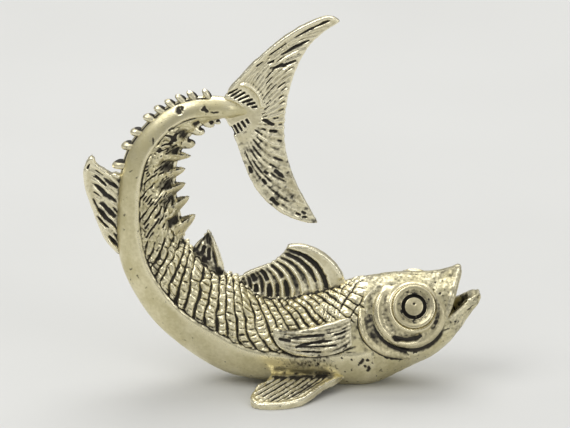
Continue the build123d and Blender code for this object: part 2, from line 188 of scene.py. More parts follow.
class Carving:
    """Heights carved into the points of one surface, in millimetres."""

    def __init__(self, points: np.ndarray, normals: np.ndarray, view: View = View.SIDE) -> None:
        """Start from a smooth surface.

        Args:
            points: surface points, one per row.
            normals: outward directions at those points.
            view: flat view in which paths are drawn.
        """
        self.points = points
        self.normals = normals
        self.flat = points[:, list(view.value)]
        self.height = np.zeros(len(points))
        # Darkening of each point: patina in cuts and hollows, and painted shade where it is tinted in
        self.patina_and_shade = np.zeros(len(points))

    def near(self, path: Path, reach: float) -> tuple[np.ndarray, np.ndarray, np.ndarray]:
        """Points close to a path.

        Args:
            path: corners of the path in the flat view.
            reach: greatest distance of interest.
        Returns:
            Indices of the points, their distances, and the share of the path where each is nearest.
        """
        path = np.asarray(path, float)
        inside = (self.flat > path.min(0) - reach) & (self.flat < path.max(0) + reach)
        pick = np.flatnonzero(inside.all(1))
        run = path[1:] - path[:-1]
        length = np.maximum(np.hypot(run[:, 0], run[:, 1]), 1e-9)
        offset = self.flat[pick][:, None, :] - path[None, :-1, :]
        share = np.clip((offset * run).sum(2) / length ** 2, 0, 1)
        gap = offset - share[:, :, None] * run
        square = (gap ** 2).sum(2)
        best = square.argmin(1)
        row = np.arange(len(pick))
        before = np.concatenate(([0], np.cumsum(length)[:-1]))
        along = (before[best] + share[row, best] * length[best]) / length.sum()
        return pick, np.sqrt(square[row, best]), along

    def stroke(
        self, path: Path, width: float, height: float, taper: float = 0.2,
        patina_and_shade: float = 0.0, ragged: float = 0.0, steep: int = 2,
    ) -> None:
        """Raise a line along a path, or cut it with a negative height.

        Args:
            path: corners of the path.
            width: full width of the line.
            height: height of its crown.
            taper: share of the path over which each end fades.
            patina_and_shade: darkness left on the line.
            ragged: how uneven its sides and its strength are.
            steep: 2 for a round profile, more for a flat one with steep sides.
        """
        pick, distance, along = self.near(path, 1.6 * width)
        ends = np.sqrt(np.clip(np.minimum(along, 1 - along) / max(taper, 1e-3), 0, 1))
        if ragged:
            sides = lattice_noise(self.points[pick], 1.2 * width, 3)
            strength = lattice_noise(self.points[pick], 2.6 * width, 4)
            distance = distance * np.maximum(1 + ragged * sides, 0.7)
            ends = ends * np.clip(1 + ragged * strength, 0, 1)
        crown = np.exp(-(2 * distance / width) ** steep) * ends
        self.height[pick] += height * crown
        self.patina_and_shade[pick] = np.maximum(self.patina_and_shade[pick], patina_and_shade * crown)

    def pit(
        self, place: Point, radius: float, depth: float, patina_and_shade: float = 0.0, ragged: float = 0.5
    ) -> None:
        """Sink an uneven pit.

        Args:
            place: middle of the pit in the flat view.
            radius: its mean radius.
            depth: its depth.
            patina_and_shade: darkness left in it.
            ragged: how uneven its edge is.
        """
        distance = np.hypot(self.flat[:, 0] - place[0], self.flat[:, 1] - place[1])
        pick = np.flatnonzero(distance < 2.2 * radius)
        uneven = 1 + ragged * lattice_noise(self.points[pick], 0.9 * radius, 5)
        bowl = np.exp(-(distance[pick] * uneven / radius) ** 4)
        self.height[pick] -= depth * bowl
        self.patina_and_shade[pick] = np.maximum(self.patina_and_shade[pick], patina_and_shade * bowl)

    def tint(self, patina_and_shade: np.ndarray) -> None:
        """Darken the points at least as much as given."""
        self.patina_and_shade = np.maximum(self.patina_and_shade, patina_and_shade)

    def noise(self, size: float, seed: int) -> np.ndarray:
        """Smooth noise at every point."""
        return lattice_noise(self.points, size, seed)

    def sink(self, amount: np.ndarray, outward: np.ndarray) -> None:
        """Push points in, against one outward direction, whichever way they face."""
        self.points = self.points - np.outer(amount, outward)

    def grain(self, size: float, amount: float, seed: int) -> None:
        """Add lumps of one size all over."""
        self.height += amount * self.noise(size, seed)

    def moved(self) -> np.ndarray:
        """Points after carving, none of them below the table."""
        points = self.points + self.normals * self.height[:, None]
        points[:, 2] = np.maximum(points[:, 2], 0)
        return points


class Signal:
    """Value of a shader socket, with operators that add Math nodes."""

    def __init__(self, graph: "Graph", socket: bpy.types.NodeSocket) -> None:
        """Wrap a socket of a graph."""
        self.graph = graph
        self.socket = socket

    def _math(self, operation: str, first: object, second: object) -> "Signal":
        """Result of a Math node."""
        return self.graph.node("ShaderNodeMath", {"operation": operation}, {0: first, 1: second})

    def __add__(self, other: object) -> "Signal":
        """Sum."""
        return self._math("ADD", self, other)

    def __radd__(self, other: object) -> "Signal":
        """Sum with a number in front."""
        return self._math("ADD", other, self)

    def __sub__(self, other: object) -> "Signal":
        """Difference."""
        return self._math("SUBTRACT", self, other)

    def __rsub__(self, other: object) -> "Signal":
        """Difference with a number in front."""
        return self._math("SUBTRACT", other, self)

    def __mul__(self, other: object) -> "Signal":
        """Product."""
        return self._math("MULTIPLY", self, other)

    def __rmul__(self, other: object) -> "Signal":
        """Product with a number in front."""
        return self._math("MULTIPLY", other, self)

    def ramp(self, low: float, high: float) -> "Signal":
        """Smooth rise from 0 at low to 1 at high."""
        settings = {"interpolation_type": "SMOOTHSTEP"}
        return self.graph.node("ShaderNodeMapRange", settings, {0: self, 1: low, 2: high})


class Graph:
    """Node tree of a material or of the surroundings."""

    def __init__(self, owner: bpy.types.Material | bpy.types.World) -> None:
        """Start with an empty tree.

        Args:
            owner: new material or world.
        """
        owner.use_nodes = True
        self.owner = owner
        self.tree = owner.node_tree
        self.tree.nodes.clear()

    def node(
        self, kind: str, settings: dict[str, object], inputs: dict[int | str, object],
        output: int | str = 0,
    ) -> Signal:
        """Add a node.

        Args:
            kind: type of the node.
            settings: properties of the node, set first.
            inputs: values or signals of its sockets.
            output: socket that is handed back.
        Returns:
            The wanted output.
        """
        node = self.tree.nodes.new(kind)
        for key, value in settings.items():
            setattr(node, key, value)
        for key, value in inputs.items():
            if isinstance(value, Signal):
                self.tree.links.new(value.socket, node.inputs[key])
            else:
                node.inputs[key].default_value = value
        return Signal(self, node.outputs[output]) if len(node.outputs) else Signal(self, node.inputs[0])

    def place(self) -> Signal:
        """Object coordinates."""
        return self.node("ShaderNodeTexCoord", {}, {}, "Object")

    def attribute(self, name: str) -> Signal:
        """Value of a mesh attribute."""
        return self.node("ShaderNodeAttribute", {"attribute_name": name}, {}, "Fac")

    def noise(self, place: Signal, size: float, detail: float) -> Signal:
        """Noise with lumps of about the given size in millimetres."""
        inputs = {"Vector": place, "Scale": 1 / (size * MM), "Detail": detail}
        return self.node("ShaderNodeTexNoise", {}, inputs, "Fac")

    def mix(self, factor: Signal, first: object, second: object) -> Signal:
        """Blend of two colours."""
        return self.node("ShaderNodeMix", {"data_type": "RGBA"}, {0: factor, 6: first, 7: second}, 2)


@dataclass(frozen=True)
class CastFinish:
    """Pale cast metal, polished on the high spots, dark in the hollows, and darker where shade is painted.
    """

    name: str
    bright: Colour
    tarnished: Colour
    dark: Colour
    polished_roughness: float
    cast_roughness: float
    # Extra weight of recess, which holds patina in the hollows and painted shade
    patina_and_shade_weight: float
    grain: float

    def material(self) -> bpy.types.Material:
        """Build the material.

        Returns:
            The finished material.
        """
        graph = Graph(bpy.data.materials.new(self.name))
        place = graph.place()
        recess = graph.attribute("recess")
        polish = graph.attribute("polish")
        cloud = graph.noise(place, 2.4, 3.0)
        fleck = graph.noise(place, 0.32, 3.0)
        speck = graph.noise(place, 0.11, 2.0)
        pores = graph.noise(place, 0.22, 1.0).ramp(0.69, 0.77)
        stretched = graph.node("ShaderNodeMapping", {}, {"Vector": place, "Scale": (0.16, 1.0, 1.0)})
        brushed = graph.noise(stretched, 0.06, 2.0)

        # Patina in the hollows, plus the painted shade that the carvings store in recess
        patina_and_shade_mask = (recess * (0.85 + self.patina_and_shade_weight) + (fleck - 0.5) * 0.60 + pores * 0.40).ramp(0.20, 0.80)
        dull = ((cloud - 0.5) * 1.7 + (fleck - 0.5) * 0.8 + 0.62 - polish * 0.75).ramp(0.10, 1.00)
        metal = graph.mix(dull, (*self.bright, 1), (*self.tarnished, 1))
        colour = graph.mix(patina_and_shade_mask, metal, (*self.dark, 1))
        spread = self.cast_roughness - self.polished_roughness
        rough = dull * spread + patina_and_shade_mask * 0.24 + (speck - 0.5) * 0.10 + self.polished_roughness
        metallic = 1 - patina_and_shade_mask * 0.45
        relief = speck * 0.6 + brushed * 0.5 + fleck * 0.8 - pores * 1.2
        bump_inputs = {"Strength": self.grain, "Distance": 0.02 * MM, "Height": relief}
        bump = graph.node("ShaderNodeBump", {}, bump_inputs, "Normal")
        skin = {"Base Color": colour, "Roughness": rough, "Metallic": metallic, "Normal": bump}
        shader = graph.node("ShaderNodeBsdfPrincipled", {}, skin)
        graph.node("ShaderNodeOutputMaterial", {}, {"Surface": shader})
        return graph.owner


@dataclass(frozen=True)
class PaperFinish:
    """Matt paper of the floor, with a faint cloudiness."""

    name: str = "studio_paper"
    light: Colour = (0.635, 0.635, 0.615)
    shade: Colour = (0.605, 0.605, 0.585)
    roughness: float = 0.85

    def material(self) -> bpy.types.Material:
        """Build the material.

        Returns:
            The finished material.
        """
        graph = Graph(bpy.data.materials.new(self.name))
        cloud = graph.noise(graph.place(), 40.0, 2.0).ramp(0.2, 0.8)
        colour = graph.mix(cloud, (*self.light, 1), (*self.shade, 1))
        paper = {"Base Color": colour, "Roughness": self.roughness}
        shader = graph.node("ShaderNodeBsdfPrincipled", {}, paper)
        graph.node("ShaderNodeOutputMaterial", {}, {"Surface": shader})
        return graph.owner


def only(piece: bpy.types.Object) -> None:
    """Select one object alone and make it the active one."""
    bpy.ops.object.select_all(action="DESELECT")
    piece.select_set(True)
    bpy.context.view_layer.objects.active = piece


def edit_all(piece: bpy.types.Object) -> None:
    """Enter edit mode with the whole of one mesh selected."""
    only(piece)
    bpy.ops.object.mode_set(mode="EDIT")
    bpy.ops.mesh.select_all(action="SELECT")


def apply_modifier(piece: bpy.types.Object, kind: str, **settings: object) -> None:
    """Add a modifier to an object and apply it.

    Args:
        piece: object that is changed.
        kind: type of the modifier.
        settings: properties of the modifier.
    """
    only(piece)
    modifier = piece.modifiers.new(kind.title(), kind)
    for key, value in settings.items():
        setattr(modifier, key, value)
    bpy.ops.object.modifier_apply(modifier=modifier.name)


def soften(piece: bpy.types.Object, voxel: float, passes: int) -> None:
    """Give a closed mesh even faces and soft edges.

    Args:
        piece: object that is changed, in millimetres.
        voxel: size of the new faces.
        passes: smoothing passes over them.
    """
    apply_modifier(piece, "REMESH", mode="VOXEL", voxel_size=voxel, adaptivity=0.0)
    apply_modifier(piece, "SMOOTH", factor=0.5, iterations=passes)


def surface_of(mesh: bpy.types.Mesh) -> tuple[np.ndarray, np.ndarray]:
    """Points and normals of a mesh, one per row."""
    points = np.empty(len(mesh.vertices) * 3)
    normals = np.empty_like(points)
    mesh.vertices.foreach_get("co", points)
    mesh.vertices.foreach_get("normal", normals)
    return points.reshape(-1, 3), normals.reshape(-1, 3)


def wrapped_grid(name: str, rings: int, around: int) -> tuple[bpy.types.Object, np.ndarray]:
    """Grid that can be laid out in rings, with both sides of its seam on one line.

    Args:
        name: name of the object.
        rings: number of rings.
        around: points of each ring.
    Returns:
        The object, and the place of each of its points among all points of the rings.
    """
    bpy.ops.object.select_all(action="DESELECT")
    bpy.ops.mesh.primitive_grid_add(x_subdivisions=rings - 1, y_subdivisions=around, size=1)
    piece = bpy.context.object
    piece.name = name
    flat, _ = surface_of(piece.data)
    ring_index = np.rint((flat[:, 0] + 0.5) * (rings - 1)).astype(int)
    point_index = np.rint((flat[:, 1] + 0.5) * around).astype(int) % around
    return piece, ring_index * around + point_index


def close_up(piece: bpy.types.Object, threshold: float) -> None:
    """Merge the seam of a grid that is laid out in rings, and close its ends.

    Args:
        piece: object that is changed.
        threshold: distance under which points are merged.
    """
    edit_all(piece)
    bpy.ops.mesh.remove_doubles(threshold=threshold)
    bpy.ops.mesh.fill_holes(sides=0)
    bpy.ops.mesh.select_all(action="SELECT")
    bpy.ops.mesh.normals_make_consistent(inside=False)
    bpy.ops.object.mode_set(mode="OBJECT")


def write_wear_and_shade(mesh: bpy.types.Mesh, patina_and_shade: np.ndarray, reach: int = 14) -> None:
    """Store how deep each point lies under its surroundings, and how far it stands out.

    Args:
        mesh: carved mesh, in millimetres.
        patina_and_shade: darkness already given to each point.
        reach: smoothing passes that make the surroundings.
    """
    points, normals = surface_of(mesh)
    count = len(points)
    ends = np.empty(len(mesh.edges) * 2, int)
    mesh.edges.foreach_get("vertices", ends)
    first, second = ends.reshape(-1, 2).T
    links = np.maximum(np.bincount(ends, minlength=count), 1)
    around = points.copy()
    for _ in range(reach):
        total = np.empty_like(around)
        for axis in range(3):
            total[:, axis] = np.bincount(first, around[second, axis], count)
            total[:, axis] += np.bincount(second, around[first, axis], count)
        around = 0.5 * around + 0.5 * total / links[:, None]
    depth = ((around - points) * normals).sum(1)
    # Recess: patina in the hollows, plus the darkening already carved in, painted shade included
    recess = np.clip(0.60 * smooth_step(depth, 0.005, 0.070) + patina_and_shade, 0, 1)
    polish = smooth_step(-depth, 0.005, 0.045)
    for name, values in (("recess", recess), ("polish", polish)):
        layer = mesh.attributes.new(name, "FLOAT", "POINT")
        layer.data.foreach_set("value", values.astype(np.float32))


@dataclass
class Casting:
    """One cast piece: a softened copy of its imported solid, carved and dressed."""

    node: str
    slot: Slot
    voxel: float = 0.08
    passes: int = 4
    view: View = View.SIDE
    seed: int = 1

    def shape(self, solids: dict[str, bpy.types.Object]) -> tuple[bpy.types.Object, Carving]:
        """Make the smooth form.

        Args:
            solids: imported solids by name.
        Returns:
            The object, in millimetres, and its carving.
        """
        mesh = solids[self.node].data.copy()
        mesh.materials.clear()
        mesh.transform(Matrix.Scale(1 / MM, 4))
        piece = bpy.data.objects.new(f"{self.node}_cast", mesh)
        bpy.context.scene.collection.objects.link(piece)
        edit_all(piece)
        bpy.ops.mesh.remove_doubles(threshold=1e-4)
        bpy.ops.object.mode_set(mode="OBJECT")
        soften(piece, self.voxel, self.passes)
        return piece, Carving(*surface_of(piece.data), self.view)

    def carve(self, carving: Carving) -> None:
        """Cut the piece's own marks.

        Args:
            carving: surface to carve.
        """
        carving.grain(0.9, 0.03, self.seed)

    def build(self, solids: dict[str, bpy.types.Object]) -> bpy.types.Object:
        """Make the finished mesh.

        Args:
            solids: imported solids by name.
        Returns:
            The object, in millimetres.
        """
        piece, carving = self.shape(solids)
        self.carve(carving)
        piece.data.vertices.foreach_set("co", carving.moved().ravel())
        piece.data.update()
        write_wear_and_shade(piece.data, carving.patina_and_shade)
        return piece

    def mirrored(self, piece: bpy.types.Object, node: str) -> bpy.types.Object:
        """Left copy of a right piece, with its own mesh.

        Args:
            piece: right piece.
            node: node that the copy stands for.
        Returns:
            The left piece.
        """
        mesh = piece.data.copy()
        mesh.transform(Matrix.Scale(-1, 4, (0, 1, 0)))
        mesh.flip_normals()
        copy = bpy.data.objects.new(f"{node}_cast", mesh)
        bpy.context.scene.collection.objects.link(copy)
        return copy

    def dress(self, piece: bpy.types.Object, node: str, metal: bpy.types.Material) -> None:
        """Bring a piece to metres, give it its metal and let it stand for its node.

        Args:
            piece: finished piece, in millimetres.
            node: node that it replaces.
            metal: material.
        """
        piece.data.transform(Matrix.Scale(MM, 4))
        piece.data.materials.clear()
        piece.data.materials.append(metal)
        only(piece)
        bpy.ops.object.shade_smooth()
        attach(piece, BODY)
        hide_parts(node)
        LOG.info("%s: %d faces", piece.name, len(piece.data.polygons))


@dataclass
class Fin(Casting):
    """Flat fin with rays that run from its root to its edge, dark between them."""

    root: Path = ()
    edge: Path = ()
    bow: Sequence[float] = (0.0, 0.0)
    rays: int = 10
    gap_width: float = 0.26
    gap_depth: float = 0.15
    gap_stain: float = 0.85
    groove_stain: float = 0.3
    ridge_height: float = 0.06
    dashes: int = 2
    broken: float = 1.0
    cover: float = 0.7
    rims: Sequence[Path] = ()
    rim_width: float = 0.5
    rim_height: float = 0.10
    slits: Sequence[Path] = ()
    slit_width: float = 0.26
    streaks: Sequence[tuple[float, Path]] = ()
    arcs: Sequence[Path] = ()
    root_sink: tuple[float, float] | None = None
    thinning: float = 0.4
    root_shade: float = 0.0
    shade: float = 0.0
    shade_heights: tuple[float, float] = (50.0, 60.0)
    root_tuck: tuple[float, float] | None = None
    pull: Point = (0.0, 0.0)

    def ray(self, share: float, points: int) -> np.ndarray:
        """Path of a ray.

        Args:
            share: place of the ray between the first and the last.
            points: corners of the path.
        Returns:
            Corners from the root to the edge.
        """
        start, end = (SmoothLine(line).share([share])[0] for line in (self.root, self.edge))
        bow = SmoothLine(self.bow).share([share])[0, 0]
        run = end - start
        side = np.array((-run[1], run[0])) / max(np.hypot(*run), 1e-6)
        along = np.linspace(0, 1, points)[:, None]
        return start + run * along + side * bow * 4 * along * (1 - along)

    def thin(self, carving: Carving) -> None:
        """Draw the fin thinner towards its edge, and paint shade along its root."""
        everywhere = 100.0
        from_root = carving.near(SmoothLine(self.root).spread(24), everywhere)[1]
        from_edge = carving.near(SmoothLine(self.edge).spread(24), everywhere)[1]
        out = from_root / np.maximum(from_root + from_edge, 1e-6)
        if self.view is View.SIDE:
            carving.points[:, 1] *= 1 - self.thinning * out ** 1.5
        uneven = 0.8 + 0.5 * carving.noise(0.4, 9)
        # Painted shade along the root, where the fin meets the body
        carving.tint(self.root_shade * np.exp(-(from_root / 0.5) ** 2) * uneven)

    def gaps(self, carving: Carving) -> None:
        """Cut the dark gaps between the rays."""
        steps = 32
        chance = np.random.default_rng(self.seed)
        for i in range(self.rays):
            path = self.ray((i + 0.5) / self.rays, steps + 1)
            depth = 0.4 * self.gap_depth
            carving.stroke(path, self.gap_width, -depth, taper=0.1, patina_and_shade=self.groove_stain, ragged=0.5)
            count = self.dashes if chance.random() < self.broken else 1
            for dash in range(count):
                room = 1 / count
                length = room * self.cover * chance.uniform(0.75, 1.1)
                start = dash * room + max(room - length, 0) * chance.random()
                first = min(int(start * steps), steps - 3)
                last = min(max(first + 3, round((start + length) * steps)), steps)
                width = self.gap_width * chance.uniform(0.8, 1.2)
                depth = self.gap_depth * chance.uniform(0.7, 1.2)
                patina_and_shade = self.gap_stain * chance.uniform(0.45, 1.1)
                part = path[first:last + 1]
                carving.stroke(part, width, -depth, taper=0.25, patina_and_shade=patina_and_shade, ragged=0.45, steep=4)

    def carve(self, carving: Carving) -> None:
        """Raise rays and rims, cut the marks, darken the tone, paint shade low down, and draw root and
        edge in.
        """
        self.thin(carving)
        for i in range(self.rays + 1):
            path = self.ray(i / self.rays, 17)
            carving.stroke(path, 0.8 * self.gap_width, self.ridge_height, taper=0.05, ragged=0.3)
        self.gaps(carving)
        for path in self.rims:
            carving.stroke(SmoothLine(path).spread(20), self.rim_width, self.rim_height, taper=0.06)
        for path in self.arcs:
            carving.stroke(SmoothLine(path).spread(20), 0.40, 0.24, taper=0.1)
        if self.root_sink:
            carving.height -= 0.45 * smooth_step(carving.points[:, 0], *self.root_sink)
        for path in self.slits:
            carving.stroke(path, self.slit_width, -0.24, taper=0.25, patina_and_shade=1.0, ragged=0.3, steep=4)
        for width, path in self.streaks:
            carving.stroke(path, width, -0.17, taper=0.3, patina_and_shade=0.95, ragged=0.35, steep=3)
        carving.grain(0.8, 0.035, self.seed)
        carving.grain(0.25, 0.018, self.seed + 1)
        carving.tint(0.26 * smooth_step(carving.noise(0.35, self.seed + 2), 0.35, 0.8))
        # A flat darker tone by default; with low shade_heights, as on the tail, painted shade on the part
        # below them
        shaded = 1 - smooth_step(carving.points[:, 2], *self.shade_heights)
        carving.patina_and_shade += self.shade * shaded * (1 + 0.5 * carving.noise(0.6, self.seed + 3))
        if self.root_tuck:
            carving.sink(0.5 * smooth_step(carving.points[:, 0], *self.root_tuck), np.array((0, -1, 0)))
        if any(self.pull):
            pick, distance, along = carving.near(SmoothLine(self.rims[0]).spread(24), 2.4)
            weight = np.exp(-(distance / 1.0) ** 2) * window(along, 0.02, 0.90, 0.25)
            carving.points[pick] += weight[:, None] * (self.pull[0], 0, self.pull[1])


@dataclass(frozen=True)
class EyeAxis:
    """Axis of the right eye, square to the tilted side of the head."""

    origin: np.ndarray
    tilt: float

    @property
    def outward(self) -> np.ndarray:
        """Direction out of the head."""
        return np.array((0, -math.cos(self.tilt), math.sin(self.tilt)))

    @property
    def upward(self) -> np.ndarray:
        """Direction up the cheek."""
        return np.array((0, math.sin(self.tilt), math.cos(self.tilt)))

    def local(self, points: np.ndarray, shift: Point = (0.0, 0.0)) -> tuple[np.ndarray, np.ndarray]:
        """Forward and upward distances from the axis, or from a parallel one.

        Args:
            points: places, of which the left ones are folded onto the right.
            shift: forward and upward place of the parallel axis.
        Returns:
            Forward and upward distances.
        """
        folded = points.copy()
        folded[:, 1] = -np.abs(folded[:, 1])
        offset = folded - self.origin
        return offset[:, 0] - shift[0], offset @ self.upward - shift[1]


def ring(radius: np.ndarray, place: float, width: float) -> np.ndarray:
    """Rounded ring profile that is 1 at one radius."""
    return np.exp(-(2 * (radius - place) / width) ** 2)


@dataclass
class FacePiece(Casting):
    """Piece of the face that is carved round the axes of the eye and the cheek."""

    eye: EyeAxis | None = None
    cheek_shift: Point = (-0.40, -0.40)
    cheek_radius: float = 3.65

    def from_eye(self, carving: Carving, shift: Point = (0.0, 0.0)) -> np.ndarray:
        """Distance of each point from the eye's axis, or from a parallel one."""
        return np.hypot(*self.eye.local(carving.points, shift))

    def from_cheek(self, carving: Carving, zero: float) -> tuple[np.ndarray, np.ndarray]:
        """Place of each point round the middle of the cheek.

        Args:
            carving: surface of the piece.
            zero: turn that counts as 0, in degrees from straight ahead over the top.
        Returns:
            Distances, and turns from that zero, from -180 to 180.
        """
        ahead, up = self.eye.local(carving.points, self.cheek_shift)
        turn = np.degrees(np.arctan2(up, ahead)) - zero
        return np.hypot(ahead, up), (turn + 180) % 360 - 180

    def front(self, carving: Carving) -> np.ndarray:
        """1 where the surface looks out along the eye's axis, and 0 on its sides."""
        return smooth_step(carving.normals @ self.eye.outward, 0.2, 0.7)


@dataclass
class EyeBoss(FacePiece):
    """Round boss with a raised rim and a cone that falls to the pupil's groove."""

    rim_radius: float = 1.95
    groove_radius: float = 1.22

    def carve(self, carving: Carving) -> None:
        """Round the rim, hollow the cone and darken the groove."""
        radius = self.from_eye(carving)
        cone = smooth_step(self.rim_radius - radius, 0.0, self.rim_radius - self.groove_radius)
        rough = carving.noise(0.4, self.seed)
        carving.height += self.front(carving) * (0.08 * ring(radius, self.rim_radius, 0.5) - 0.16 * cone)
        ahead, up = self.eye.local(carving.points)
        bridge = np.exp(-((ahead - 0.18) / 0.10) ** 2) * (up < 0)
        groove = smooth_step(self.groove_radius + 0.05 + 0.05 * rough - radius, 0, 0.10)
        carving.tint(groove * (1 - 0.8 * bridge))
        slope = smooth_step(self.rim_radius - 0.08 - radius, 0, 0.25)
        carving.tint(slope * (0.36 + 0.4 * smooth_step(rough + 0.6 * carving.noise(0.22, 8), 0.25, 0.9)))
        carving.height += 0.02 * rough


@dataclass
class PupilButton(FacePiece):
    """Domed button with a small dimple above its middle."""

    dome: float = 0.10
    button_radius: float = 0.95
    dimple: Point = (0.0, 0.28)
    dimple_radius: float = 0.13

    def carve(self, carving: Carving) -> None:
        """Raise the dome and sink the dimple."""
        front = self.front(carving)
        radius = self.from_eye(carving)
        pit = front * np.exp(-(self.from_eye(carving, self.dimple) / self.dimple_radius) ** 2)
        carving.height += self.dome * front * (1 - (radius / self.button_radius) ** 2) - 0.16 * pit
        carving.tint(pit)
        carving.tint(0.9 * smooth_step(radius, self.button_radius - 0.10, self.button_radius))
        carving.grain(0.4, 0.015, self.seed)


@dataclass
class CheekPlate(FacePiece):
    """Dished plate round the eye, whose rim flows into the brow and the upper lip."""

    slot_path: Path = ((10.80, 6.05), (11.40, 5.75), (12.40, 5.58), (13.20, 5.66), (13.95, 5.90))
    free_rim: tuple[float, float] = (-82.0, 48.0)

    def carve(self, carving: Carving) -> None:
        """Raise the rims, blend the top into the brow, roughen the dish and cut the slot."""
        around_eye = self.from_eye(carving)
        around_cheek, turn = self.from_cheek(carving, 90)
        upper = window(turn, *self.free_rim, 36)
        brow = window(turn, -75, 40, 40)
        rim = ring(around_cheek, self.cheek_radius - 0.36, 0.72) * (1 - 0.95 * upper)
        collar = ring(around_eye, 2.42, 0.55)
        edge = smooth_step(around_cheek, self.cheek_radius - 1.3, self.cheek_radius)
        carving.height += 0.20 * rim + 0.13 * collar
        carving.stroke(self.slot_path, 0.50, -0.28, patina_and_shade=1.0, ragged=0.5, steep=3)
        dish = (1 - rim) * (1 - collar) * (1 - 0.7 * brow)
        rough = carving.noise(0.24, self.seed) + 0.8 * carving.noise(0.7, self.seed + 1)
        carving.height -= dish * (0.07 + 0.03 * rough)
        carving.tint(dish * (0.36 + 0.10 * rough))
        beside_lip = window(turn, -132, -58, 20) * window(around_cheek, 2.55, 3.05, 0.3)
        carving.height -= 0.07 * beside_lip
        carving.tint(beside_lip * (0.48 + 0.14 * rough))
        carving.sink(edge * (0.30 * upper + 0.40 * brow), self.eye.outward)


@dataclass
class GillCover(FacePiece):
    """Crescent behind the cheek, with a raised rear rim and a dark valley along its front."""

    rear_rim: Path = (
        (-4.90, 0.35), (-4.95, -1.20), (-4.55, -2.60), (-3.60, -3.60), (-2.10, -4.25), (0.10, -4.40),
    )
    span: tuple[float, float] = (-38.0, 44.0)
    dark_span: tuple[float, float] = (-16.0, 60.0)

    def carve(self, carving: Carving) -> None:
        """Raise the rear rim, sink the rest, and let both ends run out into the head."""
        radius, turn = self.from_cheek(carving, 220)
        ahead, up = self.eye.local(carving.points, self.cheek_shift)
        carving.flat = np.column_stack((ahead, up))
        rim_path = SmoothLine(self.rear_rim).spread(24)
        carving.stroke(rim_path, 0.58, 0.20, taper=0.02)
        rough = carving.noise(0.24, self.seed) + 0.7 * carving.noise(0.6, self.seed + 1)
        rim_turn = (np.degrees(np.arctan2(rim_path[:, 1], rim_path[:, 0])) - 40) % 360 - 180
        beyond = radius - np.interp(turn, rim_turn, np.hypot(*rim_path.T))
        valley = ring(radius, self.cheek_radius + 0.18, 0.80)
        ends = 1 - window(turn, *self.span, 18)
        inside = (1 - smooth_step(beyond, -0.50, -0.20)) * (1 - smooth_step(turn, 0, 40))
        carving.height += 0.03 * rough - 0.14 * valley
        carving.tint(valley * (0.20 + 0.80 * window(turn, *self.dark_span, 24)))
        carving.tint(inside * (0.46 + 0.20 * rough))
        carving.tint(0.85 * smooth_step(beyond, 0.10, 0.35) * (1 - ends))
        carving.sink(0.42 * smooth_step(beyond, 0.12, 0.42) + 0.50 * ends, self.eye.outward)


